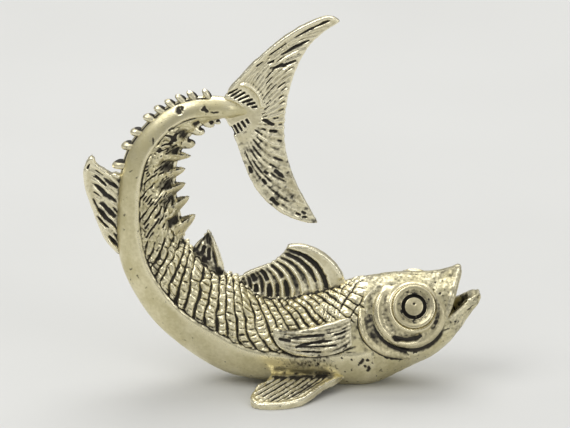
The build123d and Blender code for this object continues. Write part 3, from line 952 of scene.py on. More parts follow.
@dataclass
class Head(FacePiece):
    """Head with its brow, open jaws, lips, chin and throat."""

    upper_lip: Path = ((17.55, 12.05), (17.50, 11.25), (17.05, 9.95), (16.40, 8.35), (15.80, 7.00))
    lower_lip: Path = ((16.70, 7.15), (17.50, 7.70), (18.55, 8.45), (19.40, 9.05))
    jaw_notch: Path = ((18.35, 7.95), (18.70, 8.12), (19.00, 8.42))
    jaw_dash: Path = ((16.10, 6.05), (16.45, 6.25), (16.75, 6.30))
    brow_ridge: Path = ((9.60, 11.15), (12.30, 11.75), (14.80, 11.45), (16.90, 11.70))
    brow_dash: Path = ((12.85, 10.95), (13.15, 10.80), (13.50, 10.72))
    mouth_corner: Point = (16.55, 7.55)
    snout: tuple[float, float] = (16.6, 19.8)
    chin_rise: tuple[float, float] = (10.5, 15.2)
    chin_fall: tuple[float, float] = (17.4, 19.2)
    chin_swell: float = 0.28
    under_cheek: tuple[float, float] = (-14.0, 62.0)
    gill_top: Path = ((-4.95, -0.30), (-4.85, 0.30), (-4.30, 1.35), (-3.65, 2.10), (-2.90, 2.70))
    pits: Sequence[tuple[float, float, float]] = (
        (12.30, 3.60, 0.11), (13.20, 3.85, 0.12), (14.20, 4.60, 0.12), (14.80, 5.10, 0.14),
        (15.40, 5.60, 0.12), (13.10, 10.85, 0.14), (15.00, 10.30, 0.13), (15.70, 10.00, 0.11),
        (17.25, 6.95, 0.15),
    )

    def carve(self, carving: Carving) -> None:
        """Narrow the snout, round the chin, shape the lips, pit the throat, darken the mouth and paint
        shade.
        """
        carving.points[:, 1] *= 1 - 0.38 * smooth_step(carving.points[:, 0], *self.snout)
        x, _, z = carving.points.T
        below_lip = smooth_step(7.0 + 0.7 * (x - 16.7) - z, 0, 0.5)
        chin = smooth_step(x, *self.chin_rise) * (1 - smooth_step(x, *self.chin_fall))
        underside = smooth_step(-carving.normals[:, 2], 0.1, 0.7)
        carving.height += self.chin_swell * chin * below_lip * underside
        radius, turn = self.from_cheek(carving, 270)
        crease = ring(radius, self.cheek_radius + 0.16, 0.40) * window(turn, *self.under_cheek, 30)
        carving.height -= 0.17 * crease
        carving.tint(crease)
        beside_lip = window(turn, 62, 128, 24) * window(radius, 3.3, 4.6, 0.6)
        carving.tint(0.36 * beside_lip)
        carving.tint(0.46 * window(turn, -114, -84, 14) * window(radius, self.cheek_radius, 4.4, 0.5))
        side_view = carving.flat
        carving.flat = np.column_stack(self.eye.local(carving.points, self.cheek_shift))
        carving.stroke(SmoothLine(self.gill_top).spread(20), 0.45, 0.14)
        carving.flat = side_view
        carving.stroke(SmoothLine(self.upper_lip).spread(20), 0.78, 0.26, taper=0.05)
        carving.stroke(SmoothLine(self.lower_lip).spread(16), 0.75, 0.22, taper=0.10)
        carving.stroke(SmoothLine(self.brow_ridge).spread(20), 1.10, 0.07)
        for path in (self.jaw_notch, self.jaw_dash, self.brow_dash):
            carving.stroke(path, 0.28, -0.14, taper=0.3, patina_and_shade=0.85, ragged=0.6)
        for x, z, pit_radius in self.pits:
            carving.pit((x, z), pit_radius, 0.08, patina_and_shade=0.85, ragged=0.9)

        rough = carving.noise(0.30, self.seed + 2)
        ahead = carving.points[:, 0] - self.mouth_corner[0]
        inner = smooth_step(ahead, -1.4, 0.2) * smooth_step(1.7 - np.abs(carving.points[:, 1]), 0, 0.6)
        inward = -carving.normals[:, 1] * np.sign(carving.points[:, 1])
        facing = np.maximum(carving.normals[:, 2], np.maximum(inward, -carving.normals[:, 0]))
        mouth = inner * smooth_step(facing, 0.1, 0.5) * smooth_step(9.9 - carving.points[:, 2], 0, 0.8)
        mouth *= smooth_step(19.0 - carving.points[:, 0], 0, 0.5)
        corner = np.hypot(*(carving.flat - self.mouth_corner).T)
        carving.tint(mouth * (0.40 + 0.30 * rough + smooth_step(1.0 - corner, 0, 0.8)))
        carving.height += mouth * (0.10 + 0.12 * rough)
        carving.tint(0.5 * smooth_step(carving.noise(0.30, self.seed + 3) + 0.5 * rough, 0.55, 1.0))
        # Base tone, plus painted shade: upward faces darkened to dim the top light's highlight, the jaw's
        # sides and underside darkened
        top = smooth_step(carving.normals[:, 2], 0.2, 0.7)
        jaw = smooth_step(carving.points[:, 0], 15.8, 17.2) * (1 - top)
        tone_and_painted_shade = 0.13 + 0.25 * top + 0.20 * jaw
        carving.tint(tone_and_painted_shade * (1 + 0.3 * carving.noise(0.40, self.seed + 5)) * (1 - mouth))
        carving.grain(1.4, 0.05, self.seed)
        carving.grain(0.35, 0.03, self.seed + 1)


# Body sections, the last one of the head first: belly x, belly z, back x, back z, half width
BODY_SECTIONS = (
    (11.90, 1.20, 10.50, 11.30, 3.50),
    (9.30, -0.05, 7.90, 10.85, 3.80),
    (6.00, -0.18, 5.20, 10.15, 3.90),
    (2.30, -0.05, 2.30, 9.35, 3.80),
    (-1.40, 0.30, -0.30, 8.85, 3.65),
    (-5.00, 0.90, -2.70, 9.40, 3.45),
    (-8.25, 2.50, -4.60, 10.95, 3.20),
    (-11.25, 4.85, -6.70, 11.70, 2.95),
    (-13.70, 7.60, -8.40, 13.30, 2.70),
    (-15.50, 10.95, -9.70, 15.20, 2.45),
    (-16.45, 14.25, -10.20, 17.55, 2.20),
    (-16.50, 17.65, -10.60, 19.55, 2.00),
    (-16.30, 20.85, -10.70, 21.40, 1.85),
    (-15.70, 23.85, -10.55, 23.15, 1.70),
    (-14.50, 26.15, -10.05, 24.45, 1.55),
    (-12.60, 28.30, -9.30, 25.90, 1.40),
    (-10.20, 29.70, -8.10, 27.05, 1.25),
    (-7.70, 30.10, -6.80, 27.70, 1.10),
    (-5.20, 29.85, -5.40, 27.85, 0.95),
    (-3.10, 29.15, -3.45, 27.85, 0.60),
)
HEAD_STATION = -1
BODY_LINE = SmoothLine(BODY_SECTIONS, HEAD_STATION)

# Share of the depth that the smooth belly band takes at each of those sections
BAND_SHARES = (
    0.40, 0.40, 0.42, 0.44, 0.45, 0.45, 0.43, 0.42, 0.40, 0.38,
    0.36, 0.35, 0.36, 0.38, 0.40, 0.45, 0.55, 0.75, 0.90, 0.95,
)

# How far the scale rows run tailward for each step up the flank, at each of those sections
ROW_SLANTS = (
    1.0, 1.1, 1.15, 1.1, 0.95, 0.70, 0.50, 0.42, 0.42, 0.55,
    0.75, 0.90, 0.95, 0.95, 0.90, 0.90, 0.90, 0.90, 0.90, 0.90,
)


@dataclass
class Trunk(Casting):
    """Half of the hollow trunk: a smooth raised belly band below rows of cut scales."""

    rings: int = 620
    front_station: float = -0.40
    tail_station: float = 18.4
    taper: tuple[float, float] = (16.9, 18.5)
    band_points: int = 34
    scale_points: int = 112
    inner_points: int = 10
    wall: float = 1.0
    least_hollow: float = 0.15
    seam_gap: float = 0.002
    band_rise: float = 0.13
    row_pitches: tuple[Sequence[float], Sequence[float]] = (
        (1.0, 3.6, 6.0, 8.0), (1.25, 1.40, 1.05, 0.92),
    )
    cell_length: float = 0.68
    groove_width: float = 0.25
    groove_depth: float = 0.20
    sparse_from: tuple[float, float] = (7.6, 9.4)
    scales_end: tuple[float, float] = (13.2, 14.6)
    weave_end: tuple[float, float] = (0.7, 1.5)
    dorsal_seats: Sequence[tuple[float, float]] = ((0.8, 4.9), (5.7, 7.4))
    scoop_stations: Sequence[float] = (8.05, 9.05, 10.02, 10.93, 11.93, 12.97, 14.0, 14.92)
    pits: Sequence[tuple[float, float, float]] = (
        (-10.40, 28.95, 0.30), (-10.05, 29.20, 0.18), (-7.85, 29.20, 0.24), (-7.60, 29.00, 0.18),
        (6.90, 3.50, 0.11), (6.85, 2.35, 0.11), (5.90, 3.70, 0.12), (5.30, 2.80, 0.09),
        (4.60, 1.90, 0.10), (3.50, 3.10, 0.10), (7.55, 2.85, 0.10), (6.20, 2.10, 0.09),
    )
    throat_marks: Sequence[Path] = (
        ((7.60, 2.95), (7.90, 3.30), (8.05, 3.70)),
        ((8.35, 3.30), (8.60, 3.55)),
        ((8.90, 2.90), (9.15, 3.30), (9.00, 3.60)),
        ((8.55, 2.80), (8.65, 2.40), (8.40, 1.95)),
        ((8.10, 2.60), (8.35, 2.75)),
    )
    scratches: Sequence[Path] = (
        ((-7.30, 28.90), (-6.90, 28.80), (-6.30, 28.90)),
        ((-12.95, 26.40), (-12.90, 25.90), (-12.95, 25.45)),
        ((-11.50, 26.95), (-11.20, 27.20), (-11.00, 27.35)),
    )
    # Crease along the belly at the pelvic roots, darkened as painted shadow
    pelvic_shadow_crease: Path = ((-1.80, 0.85), (0.40, 1.20), (2.60, 1.30), (4.60, 1.15), (6.20, 0.80))
    lower_line: Path = (
        (-0.60, 4.25), (1.40, 3.92), (3.86, 3.97), (5.50, 4.27), (6.92, 4.77), (7.50, 4.97),
    )

    def lay_out(self) -> None:
        """Work out the smooth points, their normals and their places among the scales."""
        self.stations = np.linspace(self.front_station, self.tail_station, self.rings)
        rows = BODY_LINE.at(self.stations)
        band = SmoothLine(BAND_SHARES, HEAD_STATION).at(self.stations)[:, 0]
        belly, back = rows[:, 0:2], rows[:, 2:4]
        middle = (belly + back) / 2
        depth = np.hypot(*(back - belly).T) / 2
        up = (back - belly) / (2 * depth[:, None])
        taper = 1 - 0.88 * smooth_step(self.stations, *self.taper)
        depth = depth * taper
        width = np.maximum(rows[:, 4], 0.45) * taper
        edge = np.arccos(1 - 2 * np.clip(band, 0, 0.98))
        lower = edge[:, None] * np.linspace(0, 1, self.band_points)
        upper = edge[:, None] + (math.pi - edge)[:, None] * np.linspace(0, 1, self.scale_points + 1)[1:]
        self.angles = np.hstack((lower, upper))
        inner = np.tile(np.linspace(math.pi, 0, self.inner_points), (self.rings, 1))

        def arc(angles: np.ndarray, half_depth: np.ndarray, half_width: np.ndarray) -> np.ndarray:
            """Points of half ellipses in the planes of the rings."""
            along = -np.cos(angles) * half_depth[:, None]
            x = middle[:, :1] + up[:, :1] * along
            z = middle[:, 1:] + up[:, 1:] * along
            return np.stack((x, -np.sin(angles) * half_width[:, None], z), axis=2)

        outer = arc(self.angles, depth, width)
        hollow_sizes = [np.maximum(size - self.wall, self.least_hollow * size) for size in (depth, width)]
        hollow = arc(inner, *hollow_sizes)
        lean = -np.cos(self.angles) * width[:, None]
        sideways = -np.sin(self.angles) * depth[:, None]
        normals = np.stack((up[:, :1] * lean, sideways, up[:, 1:] * lean), axis=2)
        normals /= np.linalg.norm(normals, axis=2, keepdims=True)
        self.points = np.concatenate((outer, hollow), axis=1)
        self.normals = np.concatenate((normals, np.zeros_like(hollow)), axis=1)

        steps = np.linalg.norm(np.diff(outer, axis=1), axis=2)
        girth = np.hstack((np.zeros((self.rings, 1)), np.cumsum(steps, axis=1)))
        self.girth = girth - girth[:, self.band_points - 1:self.band_points]
        self.to_back = girth[:, -1:] - girth
        lateral = outer[:, self.band_points + self.scale_points // 3]
        self.along = np.concatenate(([0], np.cumsum(np.linalg.norm(np.diff(lateral, axis=0), axis=1))))

    def shape(self, solids: dict[str, bpy.types.Object]) -> tuple[bpy.types.Object, Carving]:
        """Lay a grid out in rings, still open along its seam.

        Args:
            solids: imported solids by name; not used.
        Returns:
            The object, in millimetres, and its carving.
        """
        self.lay_out()
        piece, self.index = wrapped_grid(f"{self.node}_cast", self.rings, self.points.shape[1])
        points = self.points.reshape(-1, 3)[self.index]
        normals = self.normals.reshape(-1, 3)[self.index]
        return piece, Carving(points, normals)

    def noise(self, size: float, seed: int) -> np.ndarray:
        """Smooth noise on the outer points, one row per ring."""
        outer = self.points[:, :self.angles.shape[1]]
        return lattice_noise(outer.reshape(-1, 3), size, self.seed + seed).reshape(self.angles.shape)

    def scales(self) -> tuple[np.ndarray, np.ndarray]:
        """Scale rows: slanted strips of uneven beads, with broken dark grooves between them.

        Returns:
            Heights and stains, one row per ring.
        """
        station = self.stations[:, None]
        fine, medium, broad = self.noise(0.28, 1), self.noise(0.55, 2), self.noise(1.1, 3)
        slant = SmoothLine(ROW_SLANTS, HEAD_STATION).at(self.stations)
        stretch = np.hypot(1, slant)
        pitch = np.interp(self.stations, *self.row_pitches)[:, None]
        rows_along = np.cumsum(np.diff(self.along, prepend=self.along[0])[:, None] / pitch, 0)
        drift = 0.30 * self.noise(2.4, 4) + 0.16 * broad + 0.10 * medium
        girth = self.girth + 0.20 * self.noise(1.6, 5)
        sparse = smooth_step(station, *self.sparse_from)
        weave = 1 - smooth_step(station, *self.weave_end)

        row = rows_along + (drift - slant * girth) / pitch
        number = np.floor(row)
        in_row = row - number
        luck = fraction(number * 12.9898)
        bold = np.clip(0.72 + 0.55 * broad + 0.35 * medium + 0.5 * (luck - 0.5), 0.08, 1.25)
        dash = smooth_step(self.noise(0.8, 6) + 0.4 * medium, -0.05, 0.30)
        other_dash = smooth_step(self.noise(0.8, 12) + 0.4 * medium, 0.15, 0.40) * sparse
        strength = bold * (1 - sparse) + dash * sparse
        width = self.groove_width * (0.7 + 0.6 * bold) * (1 - 0.25 * sparse) * (1 - 0.25 * weave)
        from_groove = np.minimum(in_row, 1 - in_row) * pitch / stretch
        groove = np.exp(-(2 * from_groove / width) ** 3) * strength
        from_middle = np.abs(in_row - 0.5) * pitch / stretch
        between = np.exp(-(2 * from_middle / (0.8 * self.groove_width)) ** 3) * other_dash
        groove = np.maximum(groove, between)

        length = self.cell_length * (1 + 0.75 * weave)
        woven = station + 0.4 * broad < 0.5 * sum(self.weave_end)
        across = slant * np.where(woven, row, 0.8 * (in_row - 0.5)) * pitch / stretch
        shift = np.where(woven, 0.12 * broad, 7.3 * luck + 0.35 * broad)
        cell = (girth * stretch + across) / length + shift
        cell_number = np.floor(cell)
        in_cell = cell - cell_number
        cell_luck = fraction(number * 78.233 + cell_number * 37.719)
        from_nick = np.minimum(in_cell, 1 - in_cell) * length
        nick = np.exp(-(2 * from_nick / (0.8 * self.groove_width)) ** 2)
        over = ((number + cell_number) % 2 == 0) * weave
        groove = groove * (1 - 0.85 * over)
        short = window(in_row, 0.15, 0.85, 0.25) * smooth_step(cell_luck, 0.15, 0.65) * (1 - 0.8 * sparse)
        nick = nick * (short * (1 - weave) + weave) * (1 - 3.2 * weave * (1 - weave))

        bead = 1 - (2 * in_row - 1) ** 2
        lump = 1 - (2 * in_cell - 1) ** 2
        tilt = (cell_luck - 0.5) * (2 * in_cell - 1)
        height = bead * (0.06 + 0.12 * lump + 0.16 * tilt) + 0.09 * (cell_luck - 0.5)
        height = height * (1 - 0.5 * weave) * (1 - 0.6 * sparse)
        height -= self.groove_depth * (groove + 0.55 * nick)
        height += (0.05 + 0.03 * sparse) * fine + (0.06 + 0.04 * sparse) * medium
        lower = (1 - smooth_step(self.girth, 0.9, 2.6)) * window(station, 1.5, 8.0, 1.5)
        patina_and_shade = (0.62 + 0.40 * fine + 0.20 * medium) * groove + (0.22 + 0.40 * weave) * nick * (1 + fine)
        patina_and_shade = patina_and_shade + (0.24 + 0.12 * lower) * smooth_step(-medium - 0.6 * fine, 0.15, 0.7)
        patina_and_shade = patina_and_shade + sparse * (0.19 + 0.24 * medium)

        hatch = window(station, 2.2, 10.4, 1.2) * (1 - smooth_step(self.girth, 0.5, 1.6))
        blotch = smooth_step(fine + 0.6 * medium, -0.15, 0.55)
        marks = window(station, 12.4, 15.0, 0.8) * smooth_step(self.girth, 0.2, 0.6)
        mark = smooth_step(self.noise(0.38, 13) + 0.4 * medium, 0.18, 0.45)
        height -= 0.09 * hatch * blotch + 0.12 * marks * mark
        spots = np.maximum(0.45 * hatch * blotch, 0.9 * marks * mark)
        return height, np.clip(np.maximum(patina_and_shade, spots), 0, 1)

    def flank(self) -> tuple[np.ndarray, np.ndarray]:
        """Belly band, scale rows above it and the line between them.

        Returns:
            Heights and stains, one row per ring.
        """
        station = self.stations[:, None]
        height, patina_and_shade = self.scales()
        ending = smooth_step(station, *self.scales_end)
        marked = 1 - 0.75 * ending
        on_scales = smooth_step(self.girth, 0.02, 0.14)
        behind_gill = smooth_step(station, -0.25, 0.45)
        rows_start = smooth_step(station, -0.40, 0.10)
        x, _, z = np.moveaxis(self.points[:, :self.angles.shape[1]], 2, 0)
        fin_base = smooth_step(x, 5.9, 6.6) * window(z, 3.8, 7.5, 0.5)
        height = height * marked * on_scales * rows_start * (1 - fin_base)
        height -= 0.04 * on_scales * behind_gill
        patina_and_shade = patina_and_shade * marked * on_scales * rows_start * (1 - fin_base)
        patina_and_shade += fin_base * (0.22 + 0.40 * self.noise(0.40, 14))

        broken = np.clip(0.75 + 0.6 * self.noise(0.9, 7), 0.15, 1)
        on_band = 1 - smooth_step(self.girth, -0.16, 0.0)
        height += self.band_rise * on_band * behind_gill * (1 - 0.6 * ending)
        # Shallow groove just above the band's raised edge, darkened as patina and as painted shadow under
        # the step
        edge_line = np.exp(-((self.girth - 0.10) / 0.11) ** 2) * window(station, 0.6, 16.0, 1.6) * broken
        second_line = np.exp(-((self.girth - 0.46) / 0.08) ** 2) * window(station, 6.5, 13.5, 1.0) * broken
        height -= 0.11 * edge_line + 0.05 * second_line
        patina_and_shade = np.maximum(patina_and_shade, np.maximum(0.95 * edge_line, 0.6 * second_line))
        height -= 0.16 * (1 - smooth_step(station, self.front_station, 0.0))
        return height, patina_and_shade

    def seats(self) -> tuple[np.ndarray, np.ndarray]:
        """Dark lines beside the fins on the back and the finlets, and scoops between the finlets.

        Returns:
            Heights and stains, one row per ring.
        """
        station = np.broadcast_to(self.stations[:, None], self.angles.shape)
        height = np.zeros(self.angles.shape)
        patina_and_shade = np.zeros(self.angles.shape)
        for first, last in self.dorsal_seats:
            line = np.exp(-((self.to_back - 0.55) / 0.24) ** 2) * window(station, first, last, 0.2)
            height -= 0.14 * line
            patina_and_shade = np.maximum(patina_and_shade, line)
        uneven = 1 + 0.25 * self.noise(0.6, 8)
        to_belly = self.girth - self.girth[:, :1]
        line = np.exp(-((to_belly - 0.42) / 0.16) ** 2) * window(station, 11.4, 16.2, 0.3) * uneven
        height -= 0.06 * line
        patina_and_shade = np.maximum(patina_and_shade, 0.85 * line)
        for place in self.scoop_stations:
            ahead = self.along[:, None] - np.interp(place, self.stations, self.along)
            size = np.interp(place, (8.0, 9.0, 12.0, 15.0), (0.72, 1.08, 1.22, 0.70))
            beside = ahead * uneven / (0.60 * size)
            below = (self.to_back - 0.9 * size) / (1.4 * size)
            bowl = np.exp(-beside ** 4 - below ** 4)
            height -= 0.38 * bowl
            patina_and_shade = np.maximum(patina_and_shade, bowl * (0.68 + 0.30 * uneven * self.noise(0.45, 9)))
        return height, patina_and_shade

    def carve(self, carving: Carving) -> None:
        """Cut the scales, seats, scoops and pits, and paint shadow at the roots of the pelvic fins."""
        height = np.zeros(self.points.shape[:2])
        patina_and_shade = np.zeros(self.points.shape[:2])
        outer = self.angles.shape[1]
        for layer_height, layer_stain in (self.flank(), self.seats()):
            height[:, :outer] += layer_height
            patina_and_shade[:, :outer] = np.maximum(patina_and_shade[:, :outer], layer_stain)
        carving.height += height.ravel()[self.index]
        carving.tint(patina_and_shade.ravel()[self.index])
        for x, z, radius in self.pits:
            carving.pit((x, z), radius, 0.5 * radius, patina_and_shade=0.95)
        for path in self.scratches:
            carving.stroke(path, 0.18, -0.08, taper=0.3, patina_and_shade=0.9, ragged=0.4)
        for path in self.throat_marks:
            carving.stroke(path, 0.44, -0.10, patina_and_shade=0.95, ragged=0.6)
        # Painted shadow between the pelvic fins and the belly, in a shallow crease
        carving.stroke(SmoothLine(self.pelvic_shadow_crease).spread(16), 0.42, -0.12, patina_and_shade=0.95, ragged=0.5)
        carving.stroke(SmoothLine(self.lower_line).spread(16), 0.34, -0.12, patina_and_shade=0.95, ragged=0.3)
        x, z = carving.flat.T
        # Painted shadow on the band just above the pelvic roots
        pelvic_root_shadow = np.exp(-((x - 2.3) / 3.2) ** 4 - ((z - 1.7) / 0.85) ** 2)
        carving.tint(pelvic_root_shadow * (0.35 + 0.55 * carving.noise(0.32, self.seed + 9)))
        above = np.exp(-((x - 2.6) / 3.0) ** 4 - ((z - 3.2) / 0.85) ** 4)
        carving.tint(above * (0.42 + 0.26 * smooth_step(carving.noise(0.16, self.seed + 12), 0.2, 0.7)))
        carving.tint(0.55 * smooth_step(carving.noise(0.30, self.seed + 10), 0.62, 0.9))
        carving.grain(2.6, 0.05, self.seed + 11)

    def build(self, solids: dict[str, bpy.types.Object]) -> bpy.types.Object:
        """Make the finished mesh, with its seam merged and its ends closed.

        Args:
            solids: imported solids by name.
        Returns:
            The object, in millimetres.
        """
        piece, carving = self.shape(solids)
        self.carve(carving)
        points = carving.moved()
        points[:, 1] = np.minimum(points[:, 1], -self.seam_gap)
        mesh = piece.data
        mesh.vertices.foreach_set("co", points.ravel())
        patina_and_shade = mesh.attributes.new("patina_and_shade", "FLOAT", "POINT")
        patina_and_shade.data.foreach_set("value", carving.patina_and_shade.astype(np.float32))
        close_up(piece, 1e-5)
        kept = np.empty(len(mesh.vertices), np.float32)
        mesh.attributes["patina_and_shade"].data.foreach_get("value", kept)
        mesh.attributes.remove(mesh.attributes["patina_and_shade"])
        write_wear_and_shade(mesh, kept)
        return piece


@dataclass
class FinletComb(Casting):
    """Row of finlets on a rail that lies in the seam of the back or the belly."""

    on_back: bool = True
    finlets: Sequence[tuple[float, float, float]] = ()
    lean: float = 0.3
    foot_depth: float = 0.95
    foot_share: float = 0.72
    rail_ends: tuple[float, float] = (8.1, 16.1)
    rail_radius: float = 0.28

    def place(self, station: float) -> tuple[np.ndarray, np.ndarray, np.ndarray]:
        """Foot, outward direction and tailward direction in the side view at a station."""
        row, ahead = BODY_LINE.at([station, station + 0.05])
        near, far = (slice(2, 4), slice(0, 2)) if self.on_back else (slice(0, 2), slice(2, 4))
        away = row[near] - row[far]
        tailward = ahead[near] - row[near]
        return row[near], away / np.hypot(*away), tailward / np.hypot(*tailward)

    def tube(self, rings: np.ndarray, name: str) -> bpy.types.Object:
        """Closed tube through rings of points.

        Args:
            rings: points by ring and by place in the ring.
            name: name of the object.
        Returns:
            The tube.
        """
        piece, index = wrapped_grid(name, *rings.shape[:2])
        piece.data.vertices.foreach_set("co", rings.reshape(-1, 3)[index].ravel())
        close_up(piece, 1e-6)
        return piece

    def finlet(self, station: float, height: float, width: float, name: str) -> bpy.types.Object:
        """One finlet: a thorn with a hollow rear face on the back, a rounded knob on the belly.

        Args:
            station: place along the body.
            height: height of the tip above the seam.
            width: width of the foot.
            name: name of the object.
        Returns:
            The finlet.
        """
        foot, away, tailward = self.place(station)
        half_body = BODY_LINE.at([station])[0, 4]
        knob = float(smooth_step(np.array(station), 12.6, 13.3)) if self.on_back else 1.0
        turns = np.linspace(0, 2 * math.pi, 28, endpoint=False)
        across, ahead = np.sin(turns), np.cos(turns)
        rings = []
        for share in np.linspace(0, 0.995, 14):
            thorn = 0.85 * (1 - share ** 1.1) + 0.34 * math.sqrt(1 - share ** 8)
            dome = math.sqrt(1 - share ** 4)
            half_width = (width / 2) * (thorn * (1 - knob) + dome * knob)
            blade = (1 - share) ** 1.5 + 0.16 * math.sqrt(1 - share ** 6)
            half_thick = half_body * (self.foot_share * blade * (1 - knob) + 0.42 * dome * knob)
            hollow = 0.85 * across ** 2 + np.where(ahead > 0, 0.10, 1.0) * ahead
            profile = hollow * (1 - knob) + ahead * knob
            rise = (height + self.foot_depth) * share - self.foot_depth
            spine = foot + away * rise + tailward * self.lean * share ** 2
            flat = spine + np.outer(profile * half_width, tailward)
            rings.append(np.column_stack((flat[:, 0], across * half_thick, flat[:, 1])))
        return self.tube(np.array(rings), name)

    def rail(self, name: str) -> bpy.types.Object:
        """Round rail along the seam."""
        turns = np.linspace(0, 2 * math.pi, 12, endpoint=False)
        rings = []
        for station in np.linspace(*self.rail_ends, 60):
            foot, away, _ = self.place(station)
            flat = foot + np.outer((np.cos(turns) - 0.9) * self.rail_radius, away)
            rings.append(np.column_stack((flat[:, 0], np.sin(turns) * self.rail_radius, flat[:, 1])))
        return self.tube(np.array(rings), name)

    def shape(self, solids: dict[str, bpy.types.Object]) -> tuple[bpy.types.Object, Carving]:
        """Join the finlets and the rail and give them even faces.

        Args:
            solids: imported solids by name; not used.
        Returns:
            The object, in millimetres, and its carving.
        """
        parts = [self.rail(f"{self.node}_cast")]
        parts += [self.finlet(*row, f"{self.node}_finlet") for row in self.finlets]
        only(parts[0])
        for part in parts:
            part.select_set(True)
        bpy.ops.object.join()
        soften(parts[0], self.voxel, self.passes)
        return parts[0], Carving(*surface_of(parts[0].data))

    def carve(self, carving: Carving) -> None:
        """Darken the gaps between the feet, and the hollow rear faces with patina and painted shade."""
        for station, height, width in self.finlets:
            foot, away, tailward = self.place(station)
            gap = foot + tailward * width * 0.55 + away * 0.10
            carving.pit(tuple(gap), 0.24, 0.03, patina_and_shade=0.9)
            pick = np.hypot(*(carving.flat - foot).T) < height + width
            # Patina and painted shade on the faces turned tailward
            rear = (carving.normals[:, [0, 2]] @ tailward) * pick
            inside = 1 - smooth_step(np.abs(carving.normals[:, 1]), 0.35, 0.75) * self.on_back
            carving.tint(0.75 * smooth_step(rear, 0.45, 0.85) * inside)
        carving.grain(0.5, 0.03, self.seed)
        carving.tint(0.5 * smooth_step(carving.noise(0.4, self.seed + 1), 0.35, 0.8))


@dataclass(frozen=True)
class Stage:
    """Pale floor, soft lights and the camera, in millimetres."""

    target: tuple[float, float, float] = (0.2, 0.0, 17.66)
    distance: float = 1500.0
    elevation: float = 20.0
    view_width: float = 57.0
    sensor: float = 36.0
    floor_radius: float = 4000.0
    floor_drop: float = 0.01
    horizon: Colour = (0.38, 0.38, 0.37)
    zenith: Colour = (1.0, 1.0, 1.0)
    sky_strength: float = 0.75
    paper: PaperFinish = PaperFinish()

    def floor(self) -> None:
        """Round flat floor, a little below the fish."""
        bpy.ops.object.select_all(action="DESELECT")
        bpy.ops.mesh.primitive_circle_add(vertices=96, radius=self.floor_radius * MM, fill_type="NGON")
        piece = bpy.context.object
        piece.name = "floor"
        piece.data.transform(Matrix.Translation((0, 0, -self.floor_drop * MM)))
        piece.data.materials.append(self.paper.material())

    def light(self, name: str, place: tuple[float, float, float], size: float, power: float) -> None:
        """Square soft light that faces the fish.

        Args:
            name: name of the light.
            place: middle of the light.
            size: length of its sides.
            power: power in watts.
        """
        data = bpy.data.lights.new(name, "AREA")
        data.size = size * MM
        data.energy = power
        lamp = bpy.data.objects.new(name, data)
        lamp.location = Vector(place) * MM
        aim = Vector(self.target) * MM - lamp.location
        lamp.rotation_euler = aim.to_track_quat("-Z", "Y").to_euler()
        bpy.context.scene.collection.objects.link(lamp)

    def sky(self) -> None:
        """Soft surroundings, bright above and dim near the floor."""
        world = bpy.data.worlds.new("studio")
        bpy.context.scene.world = world
        graph = Graph(world)
        direction = graph.node("ShaderNodeTexCoord", {}, {}, "Generated")
        up = graph.node("ShaderNodeSeparateXYZ", {}, {0: direction}, "Z")
        colour = graph.mix(up.ramp(0.05, 0.95), (*self.horizon, 1), (*self.zenith, 1))
        glow = {"Color": colour, "Strength": self.sky_strength}
        shader = graph.node("ShaderNodeBackground", {}, glow)
        graph.node("ShaderNodeOutputWorld", {}, {"Surface": shader})

    def camera(self) -> None:
        """Camera at the photograph's angle, with plain tones."""
        data = bpy.data.cameras.new("camera")
        data.sensor_width = self.sensor
        data.lens = self.sensor * self.distance / self.view_width
        data.clip_start = 0.01
        data.clip_end = 10.0
        eye = bpy.data.objects.new("camera", data)
        lift = math.radians(self.elevation)
        back = Vector((0, -math.cos(lift), math.sin(lift))) * self.distance
        eye.location = (Vector(self.target) + back) * MM
        eye.rotation_euler = (math.pi / 2 - lift, 0, 0)
        bpy.context.scene.collection.objects.link(eye)
        bpy.context.scene.camera = eye
        bpy.context.scene.view_settings.view_transform = "Standard"

    def build(self) -> None:
        """Set up the floor, lights and camera."""
        self.floor()
        self.sky()
        self.light("key", (-170, -120, 300), 220, 0.46)
        self.light("top", (30, 180, 330), 260, 0.62)
        self.light("front", (200, -250, 130), 150, 0.13)
        self.camera()


FINISHES = {
    Slot.BODY: CastFinish(
        "body_cast_metal", bright=(0.82, 0.755, 0.52), tarnished=(0.63, 0.57, 0.34),
        dark=(0.042, 0.036, 0.026),
        polished_roughness=0.28, cast_roughness=0.45, patina_and_shade_weight=0.30, grain=0.5,
    ),
    Slot.FIN: CastFinish(
        "fin_cast_metal", bright=(0.90, 0.84, 0.62), tarnished=(0.66, 0.60, 0.40),
        dark=(0.032, 0.028, 0.022),
        polished_roughness=0.26, cast_roughness=0.45, patina_and_shade_weight=0.35, grain=0.6,
    ),
    Slot.FACE: CastFinish(
        "face_cast_metal", bright=(0.74, 0.67, 0.45), tarnished=(0.50, 0.45, 0.28),
        dark=(0.028, 0.024, 0.019),
        polished_roughness=0.26, cast_roughness=0.44, patina_and_shade_weight=0.35, grain=0.6,
    ),
}


